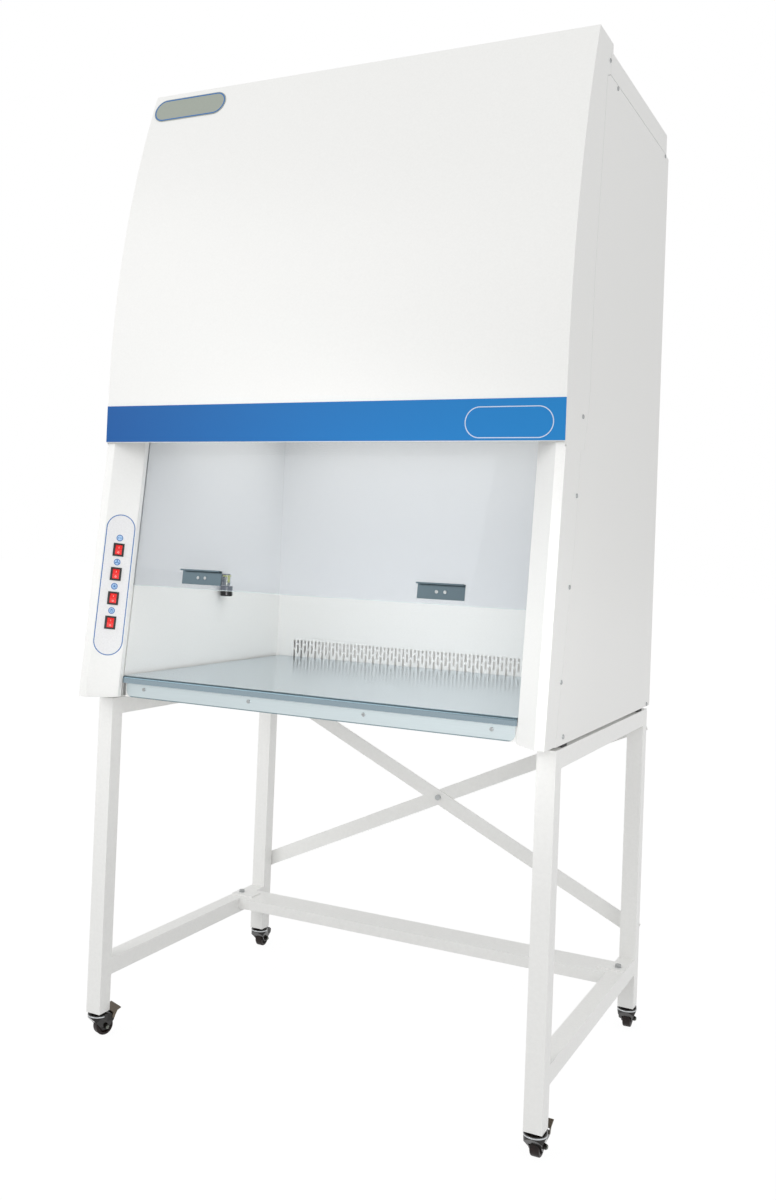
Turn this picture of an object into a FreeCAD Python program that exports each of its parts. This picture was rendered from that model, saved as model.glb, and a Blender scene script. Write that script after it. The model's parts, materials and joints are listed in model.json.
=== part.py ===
import FreeCAD, Part
import math
import os
from types import SimpleNamespace
import Sketcher

V = FreeCAD.Vector
doc = FreeCAD.newDocument("laminar_flow_cabinet")


# Vertical laminar flow cabinet on a castered stand.
# Millimetres, +Z up, +X to the user's right, the user stands at -Y.
# The origin is on the floor, in the middle of the overall width and depth.
# Distances to "centre" are from the middle of the stand, which lies a little in front of it.

# Driving dimensions: name, millimetres (or a plain ratio or count), meaning
DIMENSIONS = [
    ("width", 1000, "over the side faces of cabinet and stand"),
    ("sheet", 1.5, "painted steel sheet"),
    ("seam", 1.0, "open seam between neighbouring sheets"),
    ("front_reach", 371, "centre to the upright front face of the cover"),
    ("body_rear", 354, "centre to the rear edge of the side panels"),
    ("rear_tray", 24, "depth of the rear panel's folded edge"),
    ("top_gap", 1.5, "rear panel below the side panels' top"),
    ("stand_depth", 714, "over the front and rear legs"),
    ("stand_top", 721.5, "height of the stand without the cabinet"),
    ("tube", 35, "square tube of the stand"),
    ("tube_wall", 1.5, "wall of that tube"),
    ("leg_bottom", 54, "underside of the legs above the floor"),
    ("lower_rail_top", 163, "top of the lower side rails"),
    ("cross_depth", 84, "flat cross member, front to rear"),
    ("cross_height", 25, "flat cross member, top to bottom"),
    ("cross_front", 199, "centre to the cross member's front edge"),
    ("tab_sheet", 3, "end tabs of the cross member"),
    ("tab_depth", 44, "end tabs, front to rear"),
    ("brace_width", 34, "flat brace bars"),
    ("brace_sheet", 3, "thickness of the brace bars"),
    ("brace_high", 683, "upper brace bolts above the floor"),
    ("brace_low", 223, "lower brace bolts above the floor"),
    ("brace_end", 14, "brace bar beyond its end bolts"),
    ("bolt", 8, "stand bolts, shank diameter"),
    ("bolt_head", 13, "stand bolts, head diameter"),
    ("bolt_head_height", 6, "stand bolts, head height"),
    ("bolt_play", 0.2, "bolt hole beyond the shank, on radius"),
    ("bolt_grip", 12, "bolt shank inside the tube"),
    ("pad_height", 6.5, "pads between stand and cabinet"),
    ("pad_size", 30, "side of the square pads"),
    ("pad_inset", 60, "pad centres from the stand's front and rear faces"),
    ("jamb_front", 428, "centre to the foot of the jamb's front strip"),
    ("jamb_strip", 18, "width of the jamb's front strip"),
    ("jamb_splay", 47, "set-back of the splayed face, both ways"),
    ("jamb_return", 11, "return flange beside the window"),
    ("jamb_flange", 97, "side flange of the jamb, upper part"),
    ("jamb_foot", 63, "side flange of the jamb at its foot"),
    ("jamb_knee", 1064, "height where the side flange starts to narrow"),
    ("jamb_top", 1256, "height of the jamb's top"),
    ("lean", 0.118, "set-back of the front per unit of height"),
    ("cover_lip", 1266, "lower edge of the curved cover's front"),
    ("band_top", 1342, "top of the coloured band, where the curve starts"),
    ("band_sheet", 1.2, "thickness of the coloured band"),
    ("cover_step", 18, "top of the curved cover above the lid"),
    ("cover_crown", 240, "centre to where the curve meets the top"),
    ("cover_rear", 143, "centre to the rear edge of the cover's top"),
    ("cover_side", 156, "centre to the rear edge of the cover's cheeks at the lid"),
    ("cheek_foot", 122, "cheek's depth at the jamb"),
    ("cheek_waist", 149, "cheek's depth just above the band"),
    ("cheek_middle", 154, "cheek's depth half way up"),
    ("cheek_shoulder", 189, "cheek's depth at the shoulder"),
    ("cheek_head", 192, "cheek's depth below the lid"),
    ("waist_rise", 13, "band's top to the cheek's waist"),
    ("middle_rise", 243, "band's top to the cheek's middle"),
    ("shoulder_drop", 115, "cover's top down to the cheek's shoulder"),
    ("head_drop", 73, "cover's top down to the cheek's head"),
    ("lid_top", 2034, "top of the lid"),
    ("lid_skirt", 45.5, "depth of the lid's folded skirt"),
    ("vent_length", 130, "air slots in the lid"),
    ("vent_width", 10, "air slots in the lid"),
    ("vent_pitch", 26, "spacing of the air slots"),
    ("vent_count", 14, "number of air slots"),
    ("side_gap", 60, "outer side face to the work chamber"),
    ("chamber_rear", 298, "centre to the chamber's rear wall"),
    ("ceiling", 1430, "top of the diffuser above the floor"),
    ("inner_gap", 2.5, "inner side walls below the side panels' top"),
    ("bench", 774, "top of the worktop"),
    ("bench_sheet", 1.5, "stainless sheet of the worktop"),
    ("bench_side_gap", 9, "worktop to the chamber's side walls"),
    ("bench_nose", 370, "centre to the worktop's rounded nose"),
    ("nose_radius", 6, "outer radius of the nose"),
    ("nose_drop", 15, "height of the nose"),
    ("bench_gap", 2, "worktop to the rear wall"),
    ("strip_side_gap", 14, "stainless strip under the nose to the chamber's side walls"),
    ("strip_top", 765, "top of that strip"),
    ("strip_corner", 14, "rounded lower corners of that strip"),
    ("rib_width", 40, "support ribs under the worktop"),
    ("rib_spacing", 300, "spacing of the ribs"),
    ("grille_top", 816, "top of the return air slots"),
    ("grille_margin", 51, "chamber's side wall to the first slots"),
    ("slot_pitch", 10.2, "spacing of the slot columns"),
    ("slot_width", 5, "return air slots"),
    ("slot_length", 20, "return air slots"),
    ("slot_bridge", 5, "metal left between two slots of a column"),
    ("slot_short", 7.5, "short slot at the top of every other column"),
    ("grille_edge", 10, "plain margin above the slots"),
    ("glass", 5, "thickness of the sash"),
    ("glass_overlap", 10, "sash behind each jamb, past the chamber wall"),
    ("glass_low", 964, "lower edge of the sash as it stands"),
    ("glass_height", 540, "height of the sash"),
    ("guide_wall", 1.5, "walls of the sash guides"),
    ("guide_play", 0.5, "sash to guide, each side"),
    ("guide_depth", 19, "guide channel, side to side"),
    ("guide_top", 1770, "top of the sash guides"),
    ("handle_width", 95, "sash handles"),
    ("handle_height", 30, "sash handles"),
    ("handle_lip", 12, "folded lip of the sash handles"),
    ("handle_sheet", 1.5, "stainless sheet of the handles"),
    ("handle_x", 265, "centre to the middle of each handle"),
    ("handle_rise", 9, "handle above the sash's lower edge"),
    ("diffuser_play", 2, "diffuser to the chamber walls"),
    ("diffuser_front", 272, "centre to the diffuser's front edge"),
    ("hole_length", 70, "air slots in the diffuser"),
    ("hole_width", 9, "air slots in the diffuser"),
    ("hole_columns", 16, "diffuser slots, side to side"),
    ("hole_rows", 5, "diffuser slots, front to rear"),
    ("hole_margin", 45, "plain edge round the diffuser's slots"),
    ("ledge", 20, "ceiling ledges"),
    ("filter_height", 68, "main filter"),
    ("filter_front", 262, "centre to the main filter's front"),
    ("filter_frame", 18, "wall of the main filter's frame"),
    ("filter_play", 3, "main filter to the chamber walls"),
    ("media_inset", 4, "filter pack below the frame's faces"),
    ("plenum_height", 142, "pressure box over the main filter"),
    ("plenum_front", 245, "centre to the pressure box's front"),
    ("fan_y", 60, "centre to the blower's axis, rearwards"),
    ("fan_rise", 150, "blower's first arc centre above the pressure box"),
    ("scroll_radius", 118, "first quarter of the scroll"),
    ("scroll_step", 12, "growth of the scroll per quarter"),
    ("scroll_width", 130, "scroll, side to side"),
    ("scroll_shift", 20, "scroll's motor side, right of the centre"),
    ("scroll_neck", 25, "cut-off to the first arc's centre"),
    ("inlet_radius", 76, "blower inlet"),
    ("wheel_radius", 98, "blower wheel"),
    ("wheel_width", 96, "blower wheel"),
    ("wheel_gap", 14, "blower wheel to the scroll's motor side"),
    ("wheel_disc", 3, "back disc and front ring of the wheel"),
    ("blade_count", 24, "blades of the blower wheel"),
    ("blade_depth", 20, "blades, inwards from the rim"),
    ("blade_sheet", 1.2, "blades"),
    ("blade_angle", 35, "lean of the blades in degrees"),
    ("hub_radius", 16, "hub of the blower wheel"),
    ("hub_length", 30, "hub of the blower wheel"),
    ("shaft_radius", 6, "motor shaft"),
    ("shaft_play", 0.05, "motor shaft in its bearing, on radius"),
    ("shaft_depth", 60, "motor shaft inside the motor"),
    ("motor_radius", 58, "blower motor"),
    ("motor_length", 112, "blower motor"),
    ("saddle_width", 60, "motor saddle"),
    ("saddle_spread", 84, "motor saddle, front to rear"),
    ("saddle_sheet", 3, "motor saddle"),
    ("prefilter_height", 22, "pre-filter under the lid"),
    ("prefilter_rim", 16, "rim of the pre-filter's frame"),
    ("prefilter_margin", 12, "pre-filter past the air slots"),
    ("lid_rail", 25, "cross rails under the lid"),
    ("lamp_radius", 13, "fluorescent tube"),
    ("lamp_length", 590, "fluorescent tube"),
    ("lamp_z", 1400, "height of the fluorescent tube"),
    ("lamp_y", 330, "centre to the fluorescent tube, forwards"),
    ("batten_depth", 16, "lamp batten"),
    ("batten_height", 40, "lamp batten"),
    ("uv_radius", 8, "germicidal tube"),
    ("uv_length", 436, "germicidal tube"),
    ("uv_z", 1388, "height of the germicidal tube"),
    ("uv_stand", 24, "germicidal tube from the rear wall"),
    ("holder", 18, "lamp holders"),
    ("panel_width", 64, "control cover on the left splay"),
    ("panel_sheet", 1.2, "control cover"),
    ("panel_margin", 4, "splay left bare above and below the control cover"),
    ("label_width", 62, "control label"),
    ("label_length", 299, "control label"),
    ("label_low", 85, "control label above the jamb's foot, along the splay"),
    ("label_sheet", 0.4, "control label"),
    ("switch_first", 154.1, "lowest switch, along the splay"),
    ("switch_pitch", 51.4, "spacing of the switches"),
    ("bezel_width", 23, "switch bezel"),
    ("bezel_height", 27.5, "switch bezel"),
    ("bezel_sheet", 2, "switch bezel"),
    ("switch_width", 19.4, "switch body"),
    ("switch_height", 24, "switch body"),
    ("switch_depth", 20, "switch body behind the control cover"),
    ("switch_play", 0.3, "switch body to its cut-out"),
    ("rocker_width", 13.6, "rocker"),
    ("rocker_radius", 10.2, "rocker, pivot to its ends"),
    ("rocker_play", 0.35, "rocker to its window"),
    ("rocker_tilt", 9, "rocker's tilt either way in degrees"),
    ("pivot_radius", 1.5, "rocker trunnions"),
    ("pivot_play", 0.05, "trunnions in the switch body, on radius"),
    ("pivot_length", 1.2, "trunnions beyond the rocker"),
    ("tap_y", 15, "centre to the service tap, rearwards"),
    ("tap_z", 972, "height of the service tap's body"),
    ("tap_reach", 15, "chamber wall to the knob's axis"),
    ("tap_radius", 8, "service tap's body"),
    ("tap_flange", 14, "wall flange of the service tap, radius"),
    ("knob_radius", 14.5, "knob of the service tap"),
    ("knob_height", 24, "knob of the service tap"),
    ("knob_groove", 2.2, "groove round the knob"),
    ("spindle_radius", 3, "spindle of the service tap"),
    ("badge_inset", 6, "cover's left side to the badge"),
    ("badge_length", 184, "badge plate"),
    ("badge_drop", 66, "cover's top to the badge plate's lower edge"),
    ("badge_height", 54, "badge plate"),
    ("badge_sheet", 1.2, "badge plate"),
    ("gland_inset", 120, "right side face to the cable gland"),
    ("gland_rise", 62, "rear panel's lower edge to the cable gland"),
    ("gland_bore", 4, "bore of the cable gland, radius"),
    ("gland_thread", 8, "gland thread through the rear panel, radius"),
    ("gland_flange", 13, "gland flange, radius"),
    ("gland_reach", 22, "cable gland beyond the rear panel"),
    ("wheel_size", 20, "caster wheel, radius"),
    ("tread_width", 18, "caster wheel"),
    ("trail", 14, "swivel axis to axle"),
    ("axle_radius", 3, "caster axle"),
    ("axle_play", 0.05, "axle in the wheel, on radius"),
    ("axle_head", 5.2, "axle heads, radius"),
    ("axle_head_height", 4.5, "axle heads"),
    ("wheel_play", 1.8, "wheel to the hood, in front and above"),
    ("fork_sheet", 2.2, "pressed steel of the caster fork"),
    ("fork_gap", 20.4, "between the fork's cheeks at the axle"),
    ("fork_top", 48, "top of the fork"),
    ("hood_band", 6, "upright band round the fork's top"),
    ("hood_rear", 17.2, "half the fork's width from the axle backwards"),
    ("fork_radius", 21, "round top of the fork"),
    ("raceway_radius", 14, "swivel raceway"),
    ("raceway_top", 51, "top of the swivel raceway"),
    ("stem_radius", 5, "caster stem"),
    ("stem_length", 34, "caster stem above the raceway"),
    ("socket_play", 0.05, "stem in its socket, on radius"),
    ("socket_collar", 2.5, "collar of the socket under the leg"),
    ("socket_depth", 28, "socket inside the leg"),
    ("socket_gap", 0.2, "socket to the tube's inside"),
    ("pedal_width", 40, "brake pedal's foot plate"),
    ("pedal_block", 27, "width of the block the foot plate stands on"),
    ("pedal_sheet", 2, "brake pedal"),
    ("pedal_neck", 10.5, "pin to the foot plate's inner edge"),
    ("pedal_rise", 8, "foot plate, inner edge to tip, upwards"),
    ("pedal_y", 28, "swivel axis to the pedal's pin"),
    ("pedal_z", 39, "height of the pedal's pin"),
    ("pedal_length", 17, "pin to the foot plate's tip"),
    ("pedal_pin", 1.5, "pedal's pin, radius"),
    ("pin_end", 0.8, "pedal's pin beyond the fork's cheeks"),
    ("pedal_play", 0.05, "pin in the fork, on radius"),
]


class Size:
    """A length that carries both its value and the sheet expression behind it."""

    def __init__(self, value, text):
        self.value = float(value)
        self.text = text

    def __float__(self):
        return self.value

    def __add__(self, other):
        return joined(self, other, "+", self.value + float(other))

    def __radd__(self, other):
        return joined(other, self, "+", float(other) + self.value)

    def __sub__(self, other):
        return joined(self, other, "-", self.value - float(other))

    def __rsub__(self, other):
        return joined(other, self, "-", float(other) - self.value)

    def __mul__(self, other):
        return joined(self, other, "*", self.value * float(other))

    def __rmul__(self, other):
        return joined(other, self, "*", float(other) * self.value)

    def __truediv__(self, other):
        return joined(self, other, "/", self.value / float(other))

    def __neg__(self):
        return joined(0, self, "-", -self.value)


def size(number):
    if isinstance(number, Size):
        return number
    if number < 0:
        return Size(number, f"(0 - {-number:.6f})")
    return Size(number, f"{number:.6f}")


def joined(first, second, sign, value):
    return Size(value, f"({size(first).text} {sign} {size(second).text})")


def root(number):
    return Size(math.sqrt(number.value), f"sqrt({number.text})")


def build_sheet():
    sheet = doc.addObject("Spreadsheet::Sheet", "Sizes")
    named = {}
    for row, (alias, value, meaning) in enumerate(DIMENSIONS, start=1):
        sheet.set(f"A{row}", alias)
        sheet.set(f"B{row}", str(value))
        sheet.set(f"C{row}", meaning)
        sheet.setAlias(f"B{row}", alias)
        named[alias] = Size(value, f"Sizes.{alias}")
    doc.recompute()
    return SimpleNamespace(**named)


s = build_sheet()
kept = []

# Half of what the jambs stand out in front more than the cable gland does behind
centre_shift = (s.jamb_front - s.body_rear - s.rear_tray - s.gland_reach) / 2


# General helpers

def bind(thing, field, number):
    thing.setExpression(field, size(number).text)


def keep(thing, name):
    """Names a finished piece and moves it from the stand's centre to the frame's origin."""
    rules = {path.lstrip("."): text for path, text in thing.ExpressionEngine}
    middle = centre_shift.text
    own = rules.get("Placement.Base.y")
    thing.setExpression("Placement.Base.y", f"{own} + {middle}" if own else middle)
    thing.Label = name
    kept.append(thing)
    return thing


def at(thing, x, y, z):
    bind(thing, "Placement.Base.x", x)
    bind(thing, "Placement.Base.y", y)
    bind(thing, "Placement.Base.z", z)
    return thing


def box(name, xs, ys, zs):
    """A block between two values on each axis, given in either order."""
    low = [min(pair, key=float) for pair in (xs, ys, zs)]
    high = [max(pair, key=float) for pair in (xs, ys, zs)]
    block = doc.addObject("Part::Box", name)
    for field, start, end in zip(("Length", "Width", "Height"), low, high):
        bind(block, field, size(end) - start)
    return at(block, *low)


TURNS = {
    "x": FreeCAD.Rotation(V(0, 1, 0), 90),
    "y": FreeCAD.Rotation(V(1, 0, 0), -90),
    "z": FreeCAD.Rotation(),
}


def rod(name, radius, length, axis, x, y, z):
    """A cylinder that starts at a point and runs along a positive axis."""
    bar = doc.addObject("Part::Cylinder", name)
    bind(bar, "Radius", radius)
    bind(bar, "Height", length)
    bar.Placement = FreeCAD.Placement(V(), TURNS[axis])
    return at(bar, x, y, z)


def fuse(name, things):
    joint = doc.addObject("Part::MultiFuse", name)
    joint.Shapes = things
    joint.Refine = True
    return joint


def group(name, things):
    together = doc.addObject("Part::Compound", name)
    together.Links = things
    return together


def cut(name, base, tools):
    carved = doc.addObject("Part::Cut", name)
    carved.Base = base
    carved.Tool = tools[0] if len(tools) == 1 else group(name + "_tools", tools)
    return carved


def common(name, first, second):
    shared = doc.addObject("Part::Common", name)
    shared.Base = first
    shared.Tool = second
    return shared


# Sketched bodies

def new_body(name):
    return doc.addObject("PartDesign::Body", name)


def add_loop(sketch, corners):
    """Closed outline. A corner is (u, v), or (u, v, radius, side) where an arc starts.

    Side is 1 where the arc's centre lies left of the way round, and -1 right of it."""
    first = sketch.GeometryCount
    count = len(corners)
    starts = []
    ends = []
    shapes = []
    for place, corner in enumerate(corners):
        after = corners[(place + 1) % count]
        start = V(float(corner[0]), float(corner[1]), 0)
        end = V(float(after[0]), float(after[1]), 0)
        if len(corner) == 2:
            shapes.append(Part.LineSegment(start, end))
            starts.append(1)
            ends.append(2)
            continue
        radius = float(corner[2])
        side = corner[3]
        chord = end - start
        left = V(-chord.y, chord.x, 0).normalize()
        reach = math.sqrt(max(radius ** 2 - (chord.Length / 2) ** 2, 0.0))
        centre = (start + end) * 0.5 + left * (reach * side)
        begin, finish = (start, end) if side > 0 else (end, start)
        angles = [math.atan2(p.y - centre.y, p.x - centre.x) for p in (begin, finish)]
        shapes.append(Part.ArcOfCircle(Part.Circle(centre, V(0, 0, 1), radius), *angles))
        starts.append(1 if side > 0 else 2)
        ends.append(2 if side > 0 else 1)
    sketch.addGeometry(shapes, False)
    rules = []
    sources = []
    for place, corner in enumerate(corners):
        item = first + place
        after = (place + 1) % count
        rules.append(Sketcher.Constraint("Coincident", item, ends[place], first + after, starts[after]))
        sources.append(None)
        for kind, number in zip(("DistanceX", "DistanceY"), corner[:2]):
            rules.append(Sketcher.Constraint(kind, item, starts[place], float(number)))
            sources.append(number)
        if len(corner) > 2:
            rules.append(Sketcher.Constraint("Radius", item, float(corner[2])))
            sources.append(corner[2])
    bind_rules(sketch, rules, sources)


def add_circle(sketch, u, v, radius):
    item = sketch.GeometryCount
    sketch.addGeometry(Part.Circle(V(float(u), float(v), 0), V(0, 0, 1), float(radius)), False)
    rules = [
        Sketcher.Constraint("DistanceX", item, 3, float(u)),
        Sketcher.Constraint("DistanceY", item, 3, float(v)),
        Sketcher.Constraint("Radius", item, float(radius)),
    ]
    bind_rules(sketch, rules, [u, v, radius])


def bind_rules(sketch, rules, sources):
    first = sketch.ConstraintCount
    sketch.addConstraint(rules)
    for place, source in enumerate(sources):
        if isinstance(source, Size):
            bind(sketch, f"Constraints[{first + place}]", source)


def new_sketch(body, plane, height, loops):
    """Loops on a plane of the body, at a height along that plane's own normal."""
    sketch = body.newObject("Sketcher::SketchObject", body.Name + "_outline")
    face = next(item for item in body.Origin.OriginFeatures if item.Role == plane)
    sketch.AttachmentSupport = [(face, "")]
    sketch.MapMode = "FlatFace"
    bind(sketch, "AttachmentOffset.Base.z", height)
    for loop in loops:
        if loop[0] == "circle":
            add_circle(sketch, *loop[1:])
        else:
            add_loop(sketch, loop)
    return sketch


def on_normal(plane, low, high):
    """Start and length along the plane's normal, which is -Y for the XZ plane."""
    if plane == "XZ_Plane":
        return -size(high), size(high) - low
    return size(low), size(high) - low


def pad(body, plane, low, high, *loops):
    start, length = on_normal(plane, low, high)
    feature = body.newObject("PartDesign::Pad", body.Name + "_pad")
    feature.Profile = new_sketch(body, plane, start, loops)
    bind(feature, "Length", length)
    return feature


def pocket(body, plane, low, high, *loops):
    start, length = on_normal(plane, low, high)
    feature = body.newObject("PartDesign::Pocket", body.Name + "_pocket")
    feature.Profile = new_sketch(body, plane, start, loops)
    feature.Reversed = True
    bind(feature, "Length", length)
    return feature


def revolve(name, axis, corners):
    """A turned piece: (radius, height) corners round the body's own Z axis."""
    body = new_body(name)
    feature = body.newObject("PartDesign::Revolution", name + "_turned")
    sketch = new_sketch(body, "XZ_Plane", 0, [corners])
    feature.Profile = sketch
    feature.ReferenceAxis = (sketch, ["V_Axis"])
    bind(feature, "Angle", 360)
    body.Placement = FreeCAD.Placement(V(), TURNS[axis])
    return body


def rectangle(u0, u1, v0, v1):
    return [(u0, v0), (u1, v0), (u1, v1), (u0, v1)]


def stadium(u, v, length, height):
    """A slot shape that runs along u, centred at (u, v)."""
    radius = height / 2
    flat = length / 2 - radius
    return [
        (u - flat, v - radius),
        (u + flat, v - radius, radius, 1),
        (u + flat + radius, v, radius, 1),
        (u + flat, v + radius),
        (u - flat, v + radius, radius, 1),
        (u - flat - radius, v, radius, 1),
    ]


# Shared places

half = s.width / 2
leg_x = half - s.tube / 2
leg_y = s.stand_depth / 2 - s.tube / 2
cabinet_bottom = s.stand_top + s.pad_height
floor_low = cabinet_bottom + s.sheet
floor_top = floor_low + s.sheet
wall_x = half - s.side_gap
bench_half = wall_x - s.bench_side_gap
strip_half = wall_x - s.strip_side_gap
grille_half = wall_x - s.grille_margin
side_top = s.lid_top - s.lid_skirt - s.seam
rear_top = side_top - s.top_gap
inner_top = side_top - s.inner_gap
cover_top = s.lid_top + s.cover_step
badge_low = cover_top - s.badge_drop
gland_x = half - s.gland_inset
gland_z = cabinet_bottom + s.gland_rise
window_x = half - s.jamb_strip - s.jamb_splay
splay_rear = s.jamb_front - s.jamb_splay
slope = root(s.lean * s.lean + 1)
glass_foot = splay_rear - s.jamb_return - s.guide_wall - s.guide_play
inner_foot = glass_foot - s.glass * slope - s.guide_play - s.guide_wall
side_skirt = s.tube * 0.43


def leaned(foot, z):
    """Y of a leaning front edge at a height, from its reach at the cabinet's floor."""
    return (z - floor_top) * s.lean - foot


# Stand

def stand_frame(side, name):
    outer = side * half
    inner = side * (half - s.tube)
    bore_out = side * (half - s.tube_wall)
    bore_in = side * (half - s.tube + s.tube_wall)
    depth = s.stand_depth / 2
    solid = []
    hollow = []
    for end in (-1, 1):
        ys = (end * depth, end * (depth - s.tube))
        bore_ys = (end * (depth - s.tube_wall), end * (depth - s.tube + s.tube_wall))
        solid.append(box(f"{name}_leg", (outer, inner), ys, (s.leg_bottom, s.stand_top)))
        hollow.append(box(f"{name}_leg_bore", (bore_out, bore_in), bore_ys,
                          (s.leg_bottom, s.stand_top - s.tube_wall)))
    for top in (s.stand_top, s.lower_rail_top):
        solid.append(box(f"{name}_rail", (outer, inner), (-depth + s.tube, depth - s.tube),
                         (top - s.tube, top)))
        hollow.append(box(f"{name}_rail_bore", (bore_out, bore_in),
                          (-depth + s.tube_wall, depth - s.tube_wall),
                          (top - s.tube + s.tube_wall, top - s.tube_wall)))
    hole = s.bolt / 2 + s.bolt_play
    for z in (s.brace_high, s.brace_low):
        hollow.append(rod(f"{name}_brace_hole", hole, s.tube_wall * 3, "y",
                          side * leg_x, depth - s.tube_wall * 2, z))
    hollow.append(rod(f"{name}_tab_hole", hole, s.tube_wall * 3, "z", side * leg_x,
                      s.cross_front + s.cross_depth / 2, s.lower_rail_top - s.tube_wall * 2))
    frame = fuse(f"{name}_tubes", solid)
    keep(cut(f"{name}_bored", frame, hollow), name)


def cross_member():
    rail_in = half - s.tube
    rear = s.cross_front + s.cross_depth
    low = s.lower_rail_top - s.cross_height
    middle = s.cross_front + s.cross_depth / 2
    solid = [box("cross_tube", (-rail_in, rail_in), (s.cross_front, rear), (low, s.lower_rail_top))]
    hollow = [box("cross_bore", (-rail_in, rail_in),
                  (s.cross_front + s.tube_wall, rear - s.tube_wall),
                  (low + s.tube_wall, s.lower_rail_top - s.tube_wall))]
    for side in (-1, 1):
        tab_in = side * (rail_in - s.cross_height)
        tab_out = side * (half - s.tube_wall)
        solid.append(box("cross_tab", (tab_in, tab_out),
                         (middle - s.tab_depth / 2, middle + s.tab_depth / 2),
                         (s.lower_rail_top, s.lower_rail_top + s.tab_sheet)))
        hollow.append(rod("cross_hole", s.bolt / 2 + s.bolt_play, s.tab_sheet * 3, "z",
                          side * leg_x, middle, s.lower_rail_top - s.tab_sheet))
    keep(cut("cross_bored", fuse("cross_solid", solid), hollow), "cross_member")
    bolts = []
    for side in (-1, 1):
        top = s.lower_rail_top + s.tab_sheet
        shank = rod("cross_shank", s.bolt / 2, s.bolt_grip + s.tab_sheet, "z",
                    side * leg_x, middle, s.lower_rail_top - s.bolt_grip)
        head = rod("cross_head", s.bolt_head / 2, s.bolt_head_height, "z", side * leg_x, middle, top)
        bolts.append(fuse("cross_bolt", [shank, head]))
    return bolts


def brace_bar(name, rise, layer):
    """A flat bar across the rear legs that climbs to the right when rise is 1."""
    rear = s.stand_depth / 2
    near = rear + s.brace_sheet * layer
    climb = s.brace_high - s.brace_low
    run = leg_x * 2
    span = root(climb * climb + run * run)
    length = span + s.brace_end * 2
    middle = (s.brace_high + s.brace_low) / 2
    bar = doc.addObject("Part::Box", name + "_bar")
    bind(bar, "Length", length)
    bind(bar, "Width", s.brace_sheet)
    bind(bar, "Height", s.brace_width)
    turn = FreeCAD.Rotation(V(0, 1, 0), -rise * math.degrees(math.atan2(climb.value, run.value)))
    corner = turn.multVec(V(-length.value / 2, 0, -s.brace_width.value / 2))
    bar.Placement = FreeCAD.Placement(V(corner.x, near.value, middle.value + corner.z), turn)
    holes = []
    for x, z in ((-leg_x, s.brace_low if rise > 0 else s.brace_high), (0, middle),
                 (leg_x, s.brace_high if rise > 0 else s.brace_low)):
        holes.append(rod(name + "_hole", s.bolt / 2 + s.bolt_play, s.brace_sheet * 3, "y",
                         x, near - s.brace_sheet, z))
    return cut(name + "_drilled", bar, holes)


def stand_bolts(bolts):
    rear = s.stand_depth / 2
    outside = rear + s.brace_sheet * 2
    middle = (s.brace_high + s.brace_low) / 2
    for side in (-1, 1):
        for z, layers in ((s.brace_high, 1 if side < 0 else 2), (s.brace_low, 2 if side < 0 else 1)):
            seat = rear + s.brace_sheet * layers
            shank = rod("brace_shank", s.bolt / 2, s.bolt_grip + s.brace_sheet * layers, "y",
                        side * leg_x, rear - s.bolt_grip, z)
            head = rod("brace_head", s.bolt_head / 2, s.bolt_head_height, "y", side * leg_x, seat, z)
            bolts.append(fuse("brace_bolt", [shank, head]))
            if layers == 2:
                ring = rod("spacer_disc", s.bolt_head * 0.8, s.brace_sheet, "y", side * leg_x, rear, z)
                bore = rod("spacer_bore", s.bolt / 2 + s.bolt_play, s.brace_sheet * 2, "y",
                           side * leg_x, rear - s.brace_sheet / 2, z)
                bolts.append(cut("spacer", ring, [bore]))
    shank = rod("brace_shank", s.bolt / 2, s.brace_sheet * 2, "y", 0, rear, middle)
    head = rod("brace_head", s.bolt_head / 2, s.bolt_head_height, "y", 0, outside, middle)
    nut = rod("brace_nut", s.bolt_head / 2, s.bolt_head_height, "y", 0, rear - s.bolt_head_height, middle)
    bolts.append(fuse("brace_bolt", [shank, head, nut]))
    keep(group("bolt_set", bolts), "stand_bolts")


def cabinet_pads():
    pads = []
    reach = s.stand_depth / 2 - s.pad_inset
    for side in (-1, 1):
        for end in (-1, 1):
            x = side * leg_x
            y = end * reach
            pads.append(box("pad", (x - s.pad_size / 2, x + s.pad_size / 2),
                            (y - s.pad_size / 2, y + s.pad_size / 2), (s.stand_top, cabinet_bottom)))
    keep(group("pad_set", pads), "cabinet_pads")


# Casters, each in its own frame: swivel axis on Z, wheel trailing along +Y

CASTERS = {
    "front_left": (-1, -1, -22.0, True),
    "front_right": (1, -1, 0.0, True),
    "rear_left": (-1, 1, 0.0, False),
    "rear_right": (1, 1, 4.0, False),
}


def set_caster(thing, name):
    """Puts a piece made about the swivel axis under its leg and swivels it."""
    across, along, swivel, _ = CASTERS[name]
    thing.Placement = FreeCAD.Placement(V(), FreeCAD.Rotation(V(0, 0, 1), swivel))
    return at(thing, across * leg_x, along * leg_y, 0)


def hood_front(inset):
    """The hood seen from the front: an upright band, then cheeks that close in on the wheel."""
    wide = s.fork_radius - inset
    narrow = s.fork_gap / 2 + s.fork_sheet - inset
    low = s.wheel_size - s.axle_radius * 2.4
    top = s.fork_top - inset
    band = s.fork_top - s.hood_band
    half_view = [(narrow, low), (narrow, s.wheel_size), (wide, band), (wide, top)]
    return half_view + [(-x, z) for x, z in reversed(half_view)]


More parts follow.
